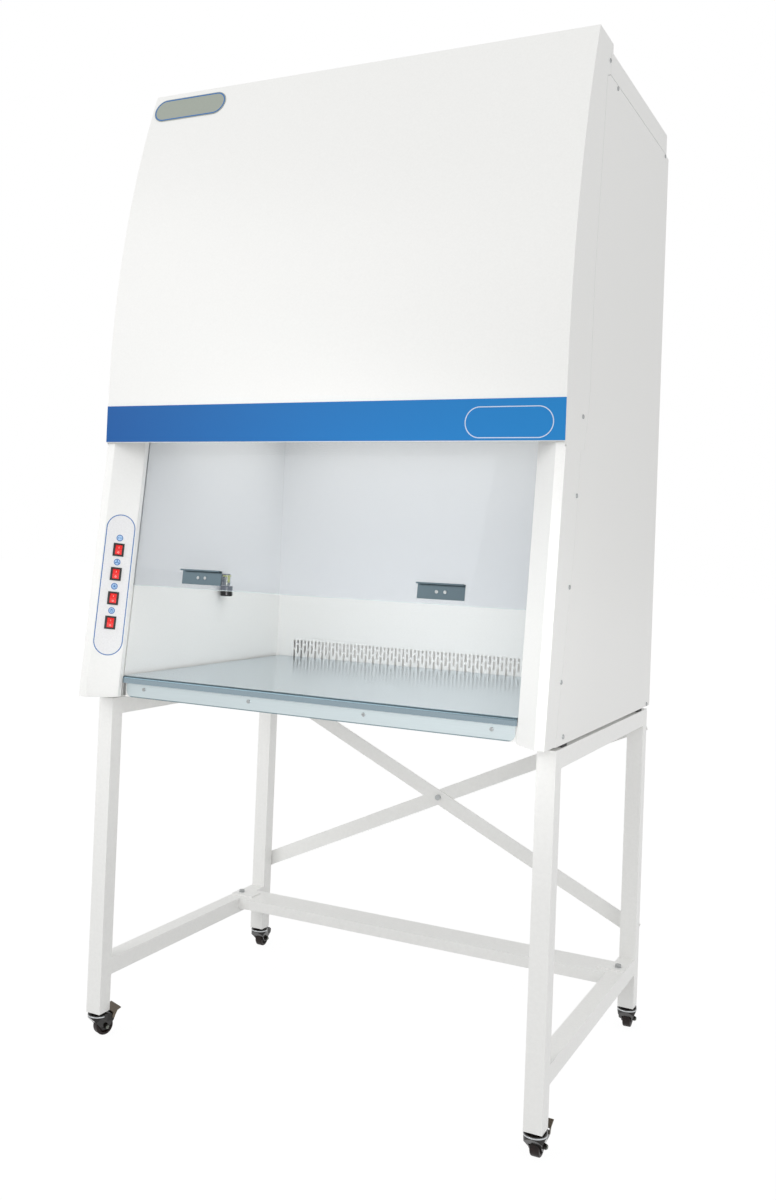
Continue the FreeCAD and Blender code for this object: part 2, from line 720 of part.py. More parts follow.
def hood_side(inset):
    """The hood seen from the side: a sloping front, a narrow foot at the axle and an open rear."""
    foot = s.axle_radius * 2.4
    low = s.wheel_size - foot
    top = s.fork_top - inset
    front = inset - s.fork_radius
    pin = s.pedal_y + s.pedal_pin * 2
    outline = [(front, top), (front, s.fork_top - s.hood_band), (s.trail - foot + inset, low)]
    if inset:
        return outline + [(pin + inset, low), (pin + inset, top)]
    return outline + [(s.trail + foot, low), (pin, s.pedal_z - s.pedal_pin * 2),
                      (pin, s.pedal_z + s.pedal_pin * 2), (s.fork_radius, top)]


def hood_top(inset):
    """The hood seen from above: round at the swivel, narrower from the axle to its open rear."""
    r = s.fork_radius - inset
    back = s.hood_rear - inset
    y = s.trail
    end = s.pedal_y + s.fork_radius
    return [(-r, size(0), r, 1), (size(0), -r, r, 1), (r, size(0)), (back, y), (back, end),
            (-back, end), (-back, y)]


def hood_form(inset):
    """What the three views have in common, drawn a wall inside where inset is given."""
    reach = s.fork_radius * 2
    views = (("XZ_Plane", -reach, reach, hood_front), ("YZ_Plane", -reach, reach, hood_side),
             ("XY_Plane", size(0), s.fork_top, hood_top))
    bodies = []
    for plane, low, high, outline in views:
        body = new_body("hood_view")
        pad(body, plane, low, high, outline(size(inset) if inset else 0))
        bodies.append(body)
    return common("hood_form", common("hood_pair", bodies[0], bodies[1]), bodies[2])


def caster_fork(name):
    """A pressed hood with a slot for the wheel, its raceway and its stem."""
    gap = s.fork_gap / 2
    slot = box("hood_slot", (-gap, gap), (s.trail - s.wheel_size - s.wheel_play, s.fork_radius * 2),
               (0, s.wheel_size * 2 + s.wheel_play))
    pressed = cut("fork_pressed", hood_form(0), [hood_form(s.fork_sheet), slot])
    raceway = rod("fork_raceway", s.raceway_radius, s.raceway_top - s.fork_top, "z", 0, 0, s.fork_top)
    stem = rod("fork_stem", s.stem_radius, s.stem_length, "z", 0, 0, s.raceway_top)
    whole = fuse("fork_whole", [pressed, raceway, stem])
    across = s.fork_radius * 2 + 2
    tools = [rod("fork_axle_hole", s.axle_radius, across, "x", -across / 2, s.trail, s.wheel_size)]
    if CASTERS[name][3]:
        tools.append(rod("fork_pin_hole", s.pedal_pin + s.pedal_play, across, "x",
                         -across / 2, s.pedal_y, s.pedal_z))
    pressing = cut("fork", whole, tools)
    keep(set_caster(group("fork_and_axle", [pressing, caster_axle()]), name), f"caster_fork_{name}")


def caster_axle():
    reach = s.fork_gap / 2 + s.fork_sheet
    pin = rod("axle_pin", s.axle_radius, reach * 2, "x", -reach, s.trail, s.wheel_size)
    heads = [rod("axle_end", s.axle_head, s.axle_head_height, "x", x, s.trail, s.wheel_size)
             for x in (-reach - s.axle_head_height, reach)]
    return fuse("axle", [pin] + heads)


def caster_wheel(name):
    """Turned wheel: rounded tread, dished sides and a raised hub."""
    width = s.tread_width / 2
    rim = s.wheel_size
    bore = s.axle_radius + s.axle_play
    hub = s.axle_radius * 2.2
    dish = rim * 0.62
    hub_face = s.fork_gap / 2 - s.axle_play * 6
    side = [
        (bore, hub_face), (hub, hub_face), (hub, width * 0.55), (dish, width * 0.55),
        (dish + 1.5, width), (rim - 3, width, 3, -1), (rim, width - 3),
    ]
    mirror = [
        (rim, 3 - width, 3, -1), (rim - 3, -width), (dish + 1.5, -width), (dish, -width * 0.55),
        (hub, -width * 0.55), (hub, -hub_face), (bore, -hub_face),
    ]
    wheel = revolve("wheel_turned", "x", side + mirror)
    at(wheel, 0, s.trail, s.wheel_size)
    keep(set_caster(group("wheel", [wheel]), name), f"caster_wheel_{name}")


def brake_pedal(name):
    """A broad foot plate on a block that turns on a pin between the fork's cheeks."""
    y = s.pedal_y
    z = s.pedal_z
    t = s.pedal_sheet
    neck = z + s.pedal_neck
    block = new_body("pedal_block")
    w = s.pedal_block / 2
    pad(block, "YZ_Plane", -w, w, rectangle(y - t, y + t, z - t * 1.1, neck))
    plate = new_body("pedal_plate")
    w = s.pedal_width / 2
    tip = y + s.pedal_length
    top = neck + s.pedal_rise
    pad(plate, "YZ_Plane", -w, w, [(y - t, neck), (y - t / 2, neck - t), (tip, top - t), (tip - t / 2, top)])
    reach = s.hood_rear + s.pin_end
    pin = rod("pedal_pin_rod", s.pedal_pin, reach * 2, "x", -reach, y, z)
    keep(set_caster(fuse("pedal", [block, plate, pin]), name), f"brake_pedal_{name}")


def caster_sockets():
    sockets = []
    grip = s.tube / 2 - s.tube_wall - s.socket_gap
    for name in CASTERS:
        across, along, _, _ = CASTERS[name]
        x = across * leg_x
        y = along * leg_y
        plug = box("socket_plug", (x - grip, x + grip), (y - grip, y + grip),
                   (s.leg_bottom, s.leg_bottom + s.socket_depth))
        collar = box("socket_collar", (x - s.tube / 2, x + s.tube / 2), (y - s.tube / 2, y + s.tube / 2),
                     (s.leg_bottom - s.socket_collar, s.leg_bottom))
        bore = rod("socket_bore", s.stem_radius + s.socket_play, s.socket_depth * 2, "z",
                   x, y, s.leg_bottom - s.socket_collar * 2)
        sockets.append(cut("socket", fuse("socket_solid", [plug, collar]), [bore]))
    keep(group("socket_set", sockets), "caster_sockets")


# Cabinet shell

def base_pan():
    """The cabinet's floor, with ears that close the jambs' feet and a front upstand."""
    body = new_body("base_pan")
    out = half
    inside = half - s.sheet
    strip = half - s.jamb_strip
    rear = s.body_rear - s.sheet
    step = s.jamb_foot - s.jamb_front
    ear = [(out, step), (out, -s.jamb_front), (strip, -s.jamb_front), (window_x, -splay_rear),
           (window_x, -inner_foot)]
    right = [(inside, rear), (inside, step)] + ear
    left = [(-x, y) for x, y in reversed(right)]
    pad(body, "XY_Plane", floor_low, floor_top, right + left)
    reach = bench_half - s.bench_sheet
    pad(body, "XY_Plane", floor_top, s.bench - s.bench_sheet,
        rectangle(-reach, reach, -inner_foot, s.sheet - inner_foot))
    keep(body, "base_pan")


def side_panel(side, name):
    """A flat side sheet with its edges folded inwards, open along the front seam."""
    seam = s.seam
    top = side_top
    knee_y = leaned(s.jamb_front - s.jamb_flange, s.jamb_knee)
    head_y = leaned(s.jamb_front - s.jamb_flange, s.jamb_top)
    outline = [
        (seam - s.jamb_front + s.jamb_foot, cabinet_bottom),
        (seam + knee_y, s.jamb_knee),
        (seam + head_y, s.jamb_top),
    ]
    outline += [(seam + y, z) for y, z in cheek_edge()]
    outline += [(seam - s.cover_side, top), (s.body_rear, top), (s.body_rear, cabinet_bottom)]
    body = new_body(name)
    fold = side * (half - side_skirt)
    low, high = sorted((fold, side * half), key=float)
    pad(body, "YZ_Plane", low, high, outline)
    skin = side * (half - s.sheet)
    low, high = sorted((fold, skin), key=float)
    pocket(body, "YZ_Plane", low, high, rectangle(
        -s.jamb_front, s.body_rear - s.sheet, cabinet_bottom + s.sheet, top - s.sheet))
    keep(body, name)


def cheek_edge():
    """Rear edge of the cover's cheeks, from the jamb's top up to the lid."""
    face = s.front_reach
    return [
        (s.cheek_foot - face, s.jamb_top),
        (s.cheek_waist - face, s.band_top + s.waist_rise),
        (s.cheek_middle - face, s.band_top + s.middle_rise),
        (s.cheek_shoulder - face, cover_top - s.shoulder_drop),
        (s.cheek_head - face, cover_top - s.head_drop),
    ]


def rear_panel():
    body = new_body("rear_panel")
    back = s.body_rear + s.rear_tray
    pad(body, "XZ_Plane", s.body_rear, back, rectangle(-half, half, cabinet_bottom, rear_top))
    pocket(body, "XZ_Plane", s.body_rear, back - s.sheet, rectangle(
        -half + s.sheet, half - s.sheet, cabinet_bottom + s.sheet, rear_top - s.sheet))
    pocket(body, "XZ_Plane", back - s.sheet, back, ("circle", gland_x, gland_z, s.gland_thread))
    keep(body, "rear_panel")


def vent_x(column):
    return (column - (s.vent_count - 1) / 2) * s.vent_pitch


def lid():
    body = new_body("lid")
    low = s.lid_top - s.lid_skirt
    front = -s.cover_side + s.seam
    pad(body, "XY_Plane", low, s.lid_top, rectangle(-half, half, front, s.body_rear))
    pocket(body, "XY_Plane", low, s.lid_top - s.sheet, rectangle(
        -half + s.sheet, half - s.sheet, front, s.body_rear - s.sheet))
    middle = s.fan_y
    vent = pocket(body, "XY_Plane", s.lid_top - s.sheet, s.lid_top, rectangle(
        vent_x(size(0)) - s.vent_width / 2, vent_x(size(0)) + s.vent_width / 2,
        middle - s.vent_length / 2, middle + s.vent_length / 2))
    rows = body.newObject("PartDesign::LinearPattern", "lid_vents")
    rows.Originals = [vent]
    rows.Direction = (vent.Profile[0], ["H_Axis"])
    bind(rows, "Length", (s.vent_count - 1) * s.vent_pitch)
    bind(rows, "Occurrences", s.vent_count)
    body.Tip = rows
    keep(body, "lid")


def lid_rails():
    """Two cross rails that carry the lid on the side panels' folds."""
    low = side_top
    high = s.lid_top - s.sheet
    reach = half - s.sheet
    rails = []
    for y in (s.lid_rail - s.cover_rear, s.body_rear - s.lid_rail - s.sheet * 2):
        tube = box("lid_rail_tube", (-reach, reach), (y, y + s.lid_rail), (low, high))
        bore = box("lid_rail_bore", (-reach, reach), (y + s.sheet, y + s.lid_rail - s.sheet),
                   (low + s.sheet, high - s.sheet))
        rails.append(cut("lid_rail", tube, [bore]))
    keep(group("lid_rail_set", rails), "lid_rails")


# The curved cover: an arc that is upright where it leaves the band

crown_rise = cover_top - s.band_top
crown_set = s.front_reach - s.cover_crown
arc_radius = (crown_set * crown_set + crown_rise * crown_rise) / (crown_set * 2)


def arc_y(radius, z):
    """Y on a circle about the cover's arc centre at a height."""
    rise = z - s.band_top
    return arc_radius - s.front_reach - root(radius * radius - rise * rise)


def front_cover():
    body = new_body("front_cover")
    face = s.front_reach
    lip = s.cover_lip - s.jamb_top
    outline = [
        (-face, s.cover_lip),
        (-face, s.band_top, arc_radius, -1),
        (-s.cover_crown, cover_top),
        (-s.cover_rear, cover_top),
        (-s.cover_rear, s.lid_top),
        (-s.cover_side, s.lid_top),
        (-s.cover_side, s.lid_top - s.lid_skirt),
    ]
    outline += reversed(cheek_edge())
    outline += [(lip - face, s.jamb_top)]
    pad(body, "YZ_Plane", -half, half, outline)
    inside = cover_top - s.sheet
    behind = -s.cover_rear - s.sheet
    below = s.jamb_top - s.tube
    pocket(body, "YZ_Plane", -half + s.sheet, half - s.sheet, [
        (s.sheet - face, below),
        (s.sheet - face, s.band_top, arc_radius - s.sheet, -1),
        (arc_y(arc_radius - s.sheet, inside), inside),
        (behind, inside),
        (behind, below),
    ])
    keep(body, "front_cover")


def front_band():
    face = -s.front_reach
    keep(box("band", (-half, half), (face - s.band_sheet, face), (s.cover_lip, s.band_top)), "front_band")


def badge_plate():
    """A bare rounded plate that follows the cover's curve."""
    outer = arc_radius + s.badge_sheet
    low = badge_low
    high = badge_low + s.badge_height
    left = s.badge_inset - half
    right = left + s.badge_length
    skin = new_body("badge_skin")
    pad(skin, "YZ_Plane", left, right, [
        (arc_y(outer, low), low, outer, -1), (arc_y(outer, high), high),
        (arc_y(arc_radius, high), high, arc_radius, 1), (arc_y(arc_radius, low), low),
    ])
    shape = new_body("badge_shape")
    pad(shape, "XZ_Plane", -s.front_reach, -s.cover_rear, stadium(
        (left + right) / 2, (low + high) / 2, s.badge_length, s.badge_height))
    keep(common("badge", skin, shape), "badge_plate")


def jamb_section(side):
    """The folded jamb seen from above: side flange, front strip, splay and return."""
    t = s.sheet
    miter = t * (math.sqrt(2) - 1)
    front = -s.jamb_front
    strip = half - s.jamb_strip
    rear = s.jamb_flange - s.jamb_front
    ret = s.jamb_return - splay_rear
    points = [
        (half, rear), (half, front), (strip, front), (window_x, -splay_rear), (window_x, ret),
        (window_x + t, ret), (window_x + t, miter - splay_rear), (strip + miter, front + t),
        (half - t, front + t), (half - t, rear),
    ]
    return [(x * side, y) for x, y in points]


def jamb_body(side, name):
    """The jamb's section drawn out along the leaning front, its side flange trimmed at the foot."""
    body = new_body(name)
    column = pad(body, "XY_Plane", floor_top, s.jamb_top, jamb_section(side))
    column.UseCustomVector = True
    column.Direction = V(0, s.lean.value, 1)
    column.AlongSketchNormal = True
    knee = leaned(s.jamb_front - s.jamb_flange, s.jamb_knee)
    low, high = sorted((side * (half - s.sheet * 2), side * (half + s.sheet)), key=float)
    pocket(body, "YZ_Plane", low, high, [
        (s.jamb_foot - s.jamb_front, floor_top), (knee, s.jamb_knee),
        (knee + s.jamb_flange, s.jamb_knee), (knee + s.jamb_flange, floor_top - s.tube),
        (s.jamb_foot - s.jamb_front, floor_top - s.tube),
    ])
    return body


# Control cover on the left splay, in a frame that lies in that face:
# X across the splay, Y up along its edges, Z out towards the user

lean_value = s.lean.value
splay_up = V(0, lean_value, 1).normalize()
splay_out = V(1, 1, 0).cross(splay_up).normalize()
splay_across = splay_up.cross(splay_out)
splay_turn = FreeCAD.Rotation(splay_across, splay_up, splay_out, "ZXY")
splay_x = -(half - s.jamb_strip - s.jamb_splay / 2)
splay_y = -(s.jamb_front - s.jamb_splay / 2)


def on_splay(thing, along=0, out=0, tilt=0):
    """Places a piece made about the origin on the splay, tilted about its own X axis."""
    turn = splay_turn.multiply(FreeCAD.Rotation(V(1, 0, 0), tilt))
    thing.Placement = FreeCAD.Placement(V(), turn)
    return at(thing, splay_x + size(along) * splay_up.x + size(out) * splay_out.x,
              splay_y + size(along) * splay_up.y + size(out) * splay_out.y,
              floor_top + size(along) * splay_up.z + size(out) * splay_out.z)


def flat_block(name, width, height, low, high, along):
    """A block on the splay, centred across and along, between two levels out from it."""
    body = new_body(name)
    pad(body, "XY_Plane", low, high, rectangle(-width / 2, width / 2, along - height / 2, along + height / 2))
    return body


def switch_places():
    return [s.switch_first + s.switch_pitch * place for place in range(4)]


label_middle = s.label_low + s.label_length / 2
cover_out = s.panel_sheet
label_out = s.panel_sheet + s.label_sheet
bezel_out = label_out + s.bezel_sheet
pivot_out = label_out
hole_w = s.switch_width + s.switch_play * 2
hole_h = s.switch_height + s.switch_play * 2


def jambs():
    keep(jamb_body(1, "jamb_right_sheet"), "right_jamb")
    folded = jamb_body(-1, "jamb_left_sheet")
    opening = flat_block("jamb_opening", s.switch_width + s.tube / 2, s.label_length - s.tube,
                         -s.sheet * 3, s.sheet * 3, label_middle)
    keep(cut("jamb_left_cut", folded, [on_splay(opening)]), "left_jamb")


def control_cover():
    length = (s.jamb_top - floor_top) * slope - s.panel_margin * 2
    body = new_body("control_sheet")
    holes = [rectangle(-hole_w / 2, hole_w / 2, v - hole_h / 2, v + hole_h / 2) for v in switch_places()]
    pad(body, "XY_Plane", 0, cover_out, rectangle(
        -s.panel_width / 2, s.panel_width / 2, s.panel_margin, s.panel_margin + length), *holes)
    keep(on_splay(body), "control_cover")
    film = new_body("label_film")
    radius = s.label_width / 2
    low = s.label_low + radius
    high = s.label_low + s.label_length - radius
    outline = [
        (-radius, high), (-radius, low, radius, 1), (0, low - radius, radius, 1),
        (radius, low), (radius, high, radius, 1), (0, high + radius, radius, 1),
    ]
    pad(film, "XY_Plane", cover_out, label_out, outline, *holes)
    keep(on_splay(film), "control_label")


def switch_housing(along):
    """A rocker switch's bezel and body, with the rocker's window and trunnion holes."""
    body = new_body("switch_housing")
    w = s.switch_width / 2
    v = s.switch_height / 2
    pad(body, "XY_Plane", -s.switch_depth, label_out, rectangle(-w, w, along - v, along + v))
    bw = s.bezel_width / 2
    bv = s.bezel_height / 2
    pad(body, "XY_Plane", label_out, bezel_out, rectangle(-bw, bw, along - bv, along + bv))
    window = s.rocker_width / 2 + s.rocker_play
    reach = s.rocker_radius + s.rocker_play
    pocket(body, "XY_Plane", pivot_out - reach, bezel_out,
           rectangle(-window, window, along - reach, along + reach))
    deep = window + s.pivot_length
    pocket(body, "YZ_Plane", -deep, deep, ("circle", along, pivot_out, s.pivot_radius + s.pivot_play))
    return on_splay(body)


def rocker(place, along):
    """A rocker with a shallow V face, rounded about its pivot, and its trunnions."""
    body = new_body("rocker_body")
    reach = s.rocker_radius
    side = 0.906
    rise = 0.423
    deep = 0.5
    bed = 0.866
    pad(body, "YZ_Plane", -s.rocker_width / 2, s.rocker_width / 2, [
        (-reach * side, reach * rise, reach, 1),
        (-reach * deep, -reach * bed),
        (reach * deep, -reach * bed, reach, 1),
        (reach * side, reach * rise),
        (size(0), reach * rise / 2),
    ])
    deep_pin = s.rocker_width / 2 + s.pivot_length - s.pivot_play
    pad(body, "YZ_Plane", -deep_pin, deep_pin, ("circle", 0, 0, s.pivot_radius))
    keep(on_splay(body, along, pivot_out, s.rocker_tilt.value), f"rocker_{place}")


def switches():
    places = switch_places()
    keep(group("switch_set", [switch_housing(v) for v in places]), "switch_housings")
    for place, along in enumerate(places, start=1):
        rocker(place, along)


# Sash, in a frame that leans with the glass: Z up along it, Y through it

sash_turn = FreeCAD.Rotation(V(1, 0, 0), -math.degrees(math.atan(lean_value)))


def on_sash(thing):
    thing.Placement = FreeCAD.Placement(V(), sash_turn)
    return at(thing, 0, leaned(glass_foot, s.glass_low), s.glass_low)


def sash():
    glass = new_body("glass_pane")
    reach = wall_x + s.glass_overlap
    pad(glass, "XZ_Plane", 0, s.glass, rectangle(-reach, reach, 0, s.glass_height))
    keep(on_sash(glass), "sash_glass")
    handles = []
    for side in (-1, 1):
        body = new_body("sash_handle")
        x = side * s.handle_x
        low = s.handle_rise
        high = low + s.handle_height
        t = s.handle_sheet
        pad(body, "YZ_Plane", x - s.handle_width / 2, x + s.handle_width / 2, [
            (size(0), low), (size(0), high), (-s.handle_lip, high), (-s.handle_lip, high - t * 2),
            (t - s.handle_lip, high - t * 2), (t - s.handle_lip, high - t), (-t, high - t), (-t, low),
        ])
        handles.append(on_sash(body))
    keep(group("handle_pair", handles), "sash_handles")


def sash_guides():
    """Channels behind the jambs' returns that the sash's edges run in."""
    near = wall_x - s.guide_wall * 2
    far = near + s.guide_depth
    rail_front = -glass_foot - s.guide_play - s.guide_wall
    rail_rear = -inner_foot
    guides = []
    for side in (-1, 1):
        body = new_body("guide")
        web = far - s.guide_wall
        points = [
            (near, rail_front), (far, rail_front), (far, rail_rear), (near, rail_rear),
            (near, rail_rear - s.guide_wall), (web, rail_rear - s.guide_wall),
            (web, rail_front + s.guide_wall), (near, rail_front + s.guide_wall),
        ]
        column = pad(body, "XY_Plane", floor_top, s.guide_top, [(x * side, y) for x, y in points])
        column.UseCustomVector = True
        column.Direction = V(0, lean_value, 1)
        column.AlongSketchNormal = True
        guides.append(body)
    keep(group("guide_set", guides), "sash_guides")


# Work chamber

def inner_wall(side):
    body = new_body("inner_wall")
    low, high = sorted((side * wall_x, side * (wall_x + s.sheet)), key=float)
    rear = s.chamber_rear + s.sheet
    pad(body, "YZ_Plane", low, high, [
        (-inner_foot, floor_top), (leaned(inner_foot, s.guide_top), s.guide_top),
        (leaned(inner_foot, s.guide_top), inner_top), (rear, inner_top), (rear, floor_top),
    ])
    return body


deck = s.ceiling + s.filter_height + s.plenum_height


def back_wall():
    low = s.grille_top + s.grille_edge
    keep(box("chamber_back", (-wall_x, wall_x), (s.chamber_rear, s.chamber_rear + s.sheet),
             (low, deck)), "chamber_back_wall")


def return_grille():
    """The slotted strip at the foot of the rear wall: columns of staggered slots."""
    body = new_body("return_grille")
    near = s.chamber_rear
    far = near + s.sheet
    top = s.grille_top
    pad(body, "XZ_Plane", near, far, rectangle(-wall_x, wall_x, floor_top, top + s.grille_edge))
    left = -grille_half
    w = s.slot_width / 2
    long_top = top - s.slot_short - s.slot_bridge
    low_top = top - s.slot_length - s.slot_bridge
    columns = (
        (left, [(top - s.slot_length, top), (low_top - s.slot_length, low_top)]),
        (left + s.slot_pitch, [(top - s.slot_short, top), (long_top - s.slot_length, long_top)]),
    )
    for x, spans in columns:
        slots = pocket(body, "XZ_Plane", near, far, *[rectangle(x - w, x + w, a, b) for a, b in spans])
        row = body.newObject("PartDesign::LinearPattern", "slot_columns")
        row.Originals = [slots]
        row.Direction = (slots.Profile[0], ["H_Axis"])
        pairs = math.floor((grille_half.value - x.value + 0.01) / (2 * s.slot_pitch.value))
        bind(row, "Length", s.slot_pitch * 2 * pairs)
        row.Occurrences = pairs + 1
        body.Tip = row
    keep(body, "return_grille")


def worktop():
    """Folded stainless top with a rounded nose and a rear drop."""
    t = s.bench_sheet
    top = s.bench
    under = top - t
    nose = -s.bench_nose
    r = s.nose_radius
    rear = s.chamber_rear - s.bench_gap
    low = top - s.nose_drop
    body = new_body("worktop")
    pad(body, "YZ_Plane", -bench_half, bench_half, [
        (rear, low), (rear, top), (nose + r, top, r, 1), (nose, top - r), (nose, low),
        (nose + t, low), (nose + t, top - r, r - t, -1), (nose + r, under), (rear - t, under),
        (rear - t, low),
    ])
    keep(body, "worktop")


def worktop_ribs():
    ribs = []
    front = s.sheet - inner_foot
    rear = s.chamber_rear - s.bench_gap - s.bench_sheet
    for place in (-1, 0, 1):
        x = place * s.rib_spacing
        ys = (front, rear)
        high = s.bench - s.bench_sheet
        block = box("rib_block", (x - s.rib_width / 2, x + s.rib_width / 2), ys, (floor_top, high))
        void = box("rib_void", (x - s.rib_width / 2 + s.sheet, x + s.rib_width / 2 - s.sheet), ys,
                   (floor_top, high - s.sheet))
        ribs.append(cut("rib", block, [void]))
    keep(group("rib_set", ribs), "worktop_ribs")


def front_strip():
    body = new_body("front_strip")
    reach = strip_half
    r = s.strip_corner
    low = floor_low
    face = -inner_foot
    pad(body, "XZ_Plane", face - s.bench_sheet, face, [
        (-reach, s.strip_top), (-reach, low + r, r, 1), (-reach + r, low),
        (reach - r, low, r, 1), (reach, low + r), (reach, s.strip_top),
    ])
    keep(body, "front_strip")


# Air handling

def diffuser():
    body = new_body("diffuser_panel")
    reach = wall_x - s.diffuser_play
    rear = s.chamber_rear - s.diffuser_play / 2
    low = s.ceiling - s.sheet
    pad(body, "XY_Plane", low, s.ceiling, rectangle(-reach, reach, -s.diffuser_front, rear))
    wide = (reach - s.hole_margin) * 2
    deep = rear + s.diffuser_front - s.hole_margin * 2
    x = s.hole_margin - reach
    y = s.hole_margin - s.diffuser_front
    slot = pocket(body, "XY_Plane", low, s.ceiling, rectangle(x, x + s.hole_width, y, y + s.hole_length))
    grid = body.newObject("PartDesign::MultiTransform", "diffuser_grid")
    grid.Originals = [slot]
    across = body.newObject("PartDesign::LinearPattern", "diffuser_columns")
    across.Direction = (slot.Profile[0], ["H_Axis"])
    bind(across, "Length", wide - s.hole_width)
    bind(across, "Occurrences", s.hole_columns)
    along = body.newObject("PartDesign::LinearPattern", "diffuser_rows")
    along.Direction = (slot.Profile[0], ["V_Axis"])
    bind(along, "Length", deep - s.hole_length)
    bind(along, "Occurrences", s.hole_rows)
    grid.Transformations = [across, along]
    body.Tip = grid
    keep(body, "diffuser_panel")


def ceiling_ledges():
    ledges = []
    top = s.ceiling - s.sheet
    for side in (-1, 1):
        body = new_body("ledge")
        points = [
            (wall_x, top), (wall_x - s.ledge, top), (wall_x - s.ledge, top - s.sheet),
            (wall_x - s.sheet, top - s.sheet), (wall_x - s.sheet, top - s.ledge), (wall_x, top - s.ledge),
        ]
        pad(body, "XZ_Plane", -s.filter_front, s.chamber_rear, [(x * side, z) for x, z in points])
        ledges.append(body)
    keep(group("ledge_set", ledges), "ceiling_ledges")


def main_filter():
    reach = wall_x - s.filter_play
    rear = s.chamber_rear - s.filter_play
    front = -s.filter_front
    high = s.ceiling + s.filter_height
    f = s.filter_frame
    frame = new_body("filter_frame_body")
    pad(frame, "XY_Plane", s.ceiling, high, rectangle(-reach, reach, front, rear),
        rectangle(-reach + f, reach - f, front + f, rear - f))
    keep(frame, "main_filter_frame")
    keep(box("filter_pack", (-reach + f, reach - f), (front + f, rear - f),
             (s.ceiling + s.media_inset, high - s.media_inset)), "main_filter_pack")


def scroll_outline(wall):
    """Three growing quarter arcs and a throat that points down, drawn a wall inside."""
    step = s.scroll_step
    y1 = s.fan_y
    z1 = deck + s.fan_rise
    r1 = s.scroll_radius - wall
    r2 = r1 + step
    r3 = r2 + step
    y2 = y1 - step
    z3 = z1 - step
    neck = y1 - s.scroll_neck - wall
    low = deck - (wall * 2)
    return [
        (y1, z1 - r1, r1, 1), (y1 + r1, z1, r2, 1), (y2, z1 + r2, r3, 1), (y2 - r3, z3),
        (y2 - r3, low), (neck, low), (neck, z1 - r1),
    ]


scroll_left = s.scroll_shift
scroll_right = s.scroll_shift + s.scroll_width
wheel_y = s.fan_y - s.scroll_step / 2
wheel_z = deck + s.fan_rise - s.scroll_step / 2


def plenum_box():
    body = new_body("pressure_box")
    reach = wall_x - s.filter_play
    rear = s.chamber_rear - s.filter_play
    front = -s.plenum_front
    low = s.ceiling + s.filter_height
    t = s.sheet
    pad(body, "XY_Plane", low, deck, rectangle(-reach, reach, front, rear))
    pocket(body, "XY_Plane", low, deck - t, rectangle(-reach + t, reach - t, front + t, rear - t))
    throat_front = s.fan_y - s.scroll_step * 3 - s.scroll_radius + t
    pocket(body, "XY_Plane", deck - t, deck, rectangle(
        scroll_left + t, scroll_right - t, throat_front, s.fan_y - s.scroll_neck - t))
    keep(body, "pressure_box")


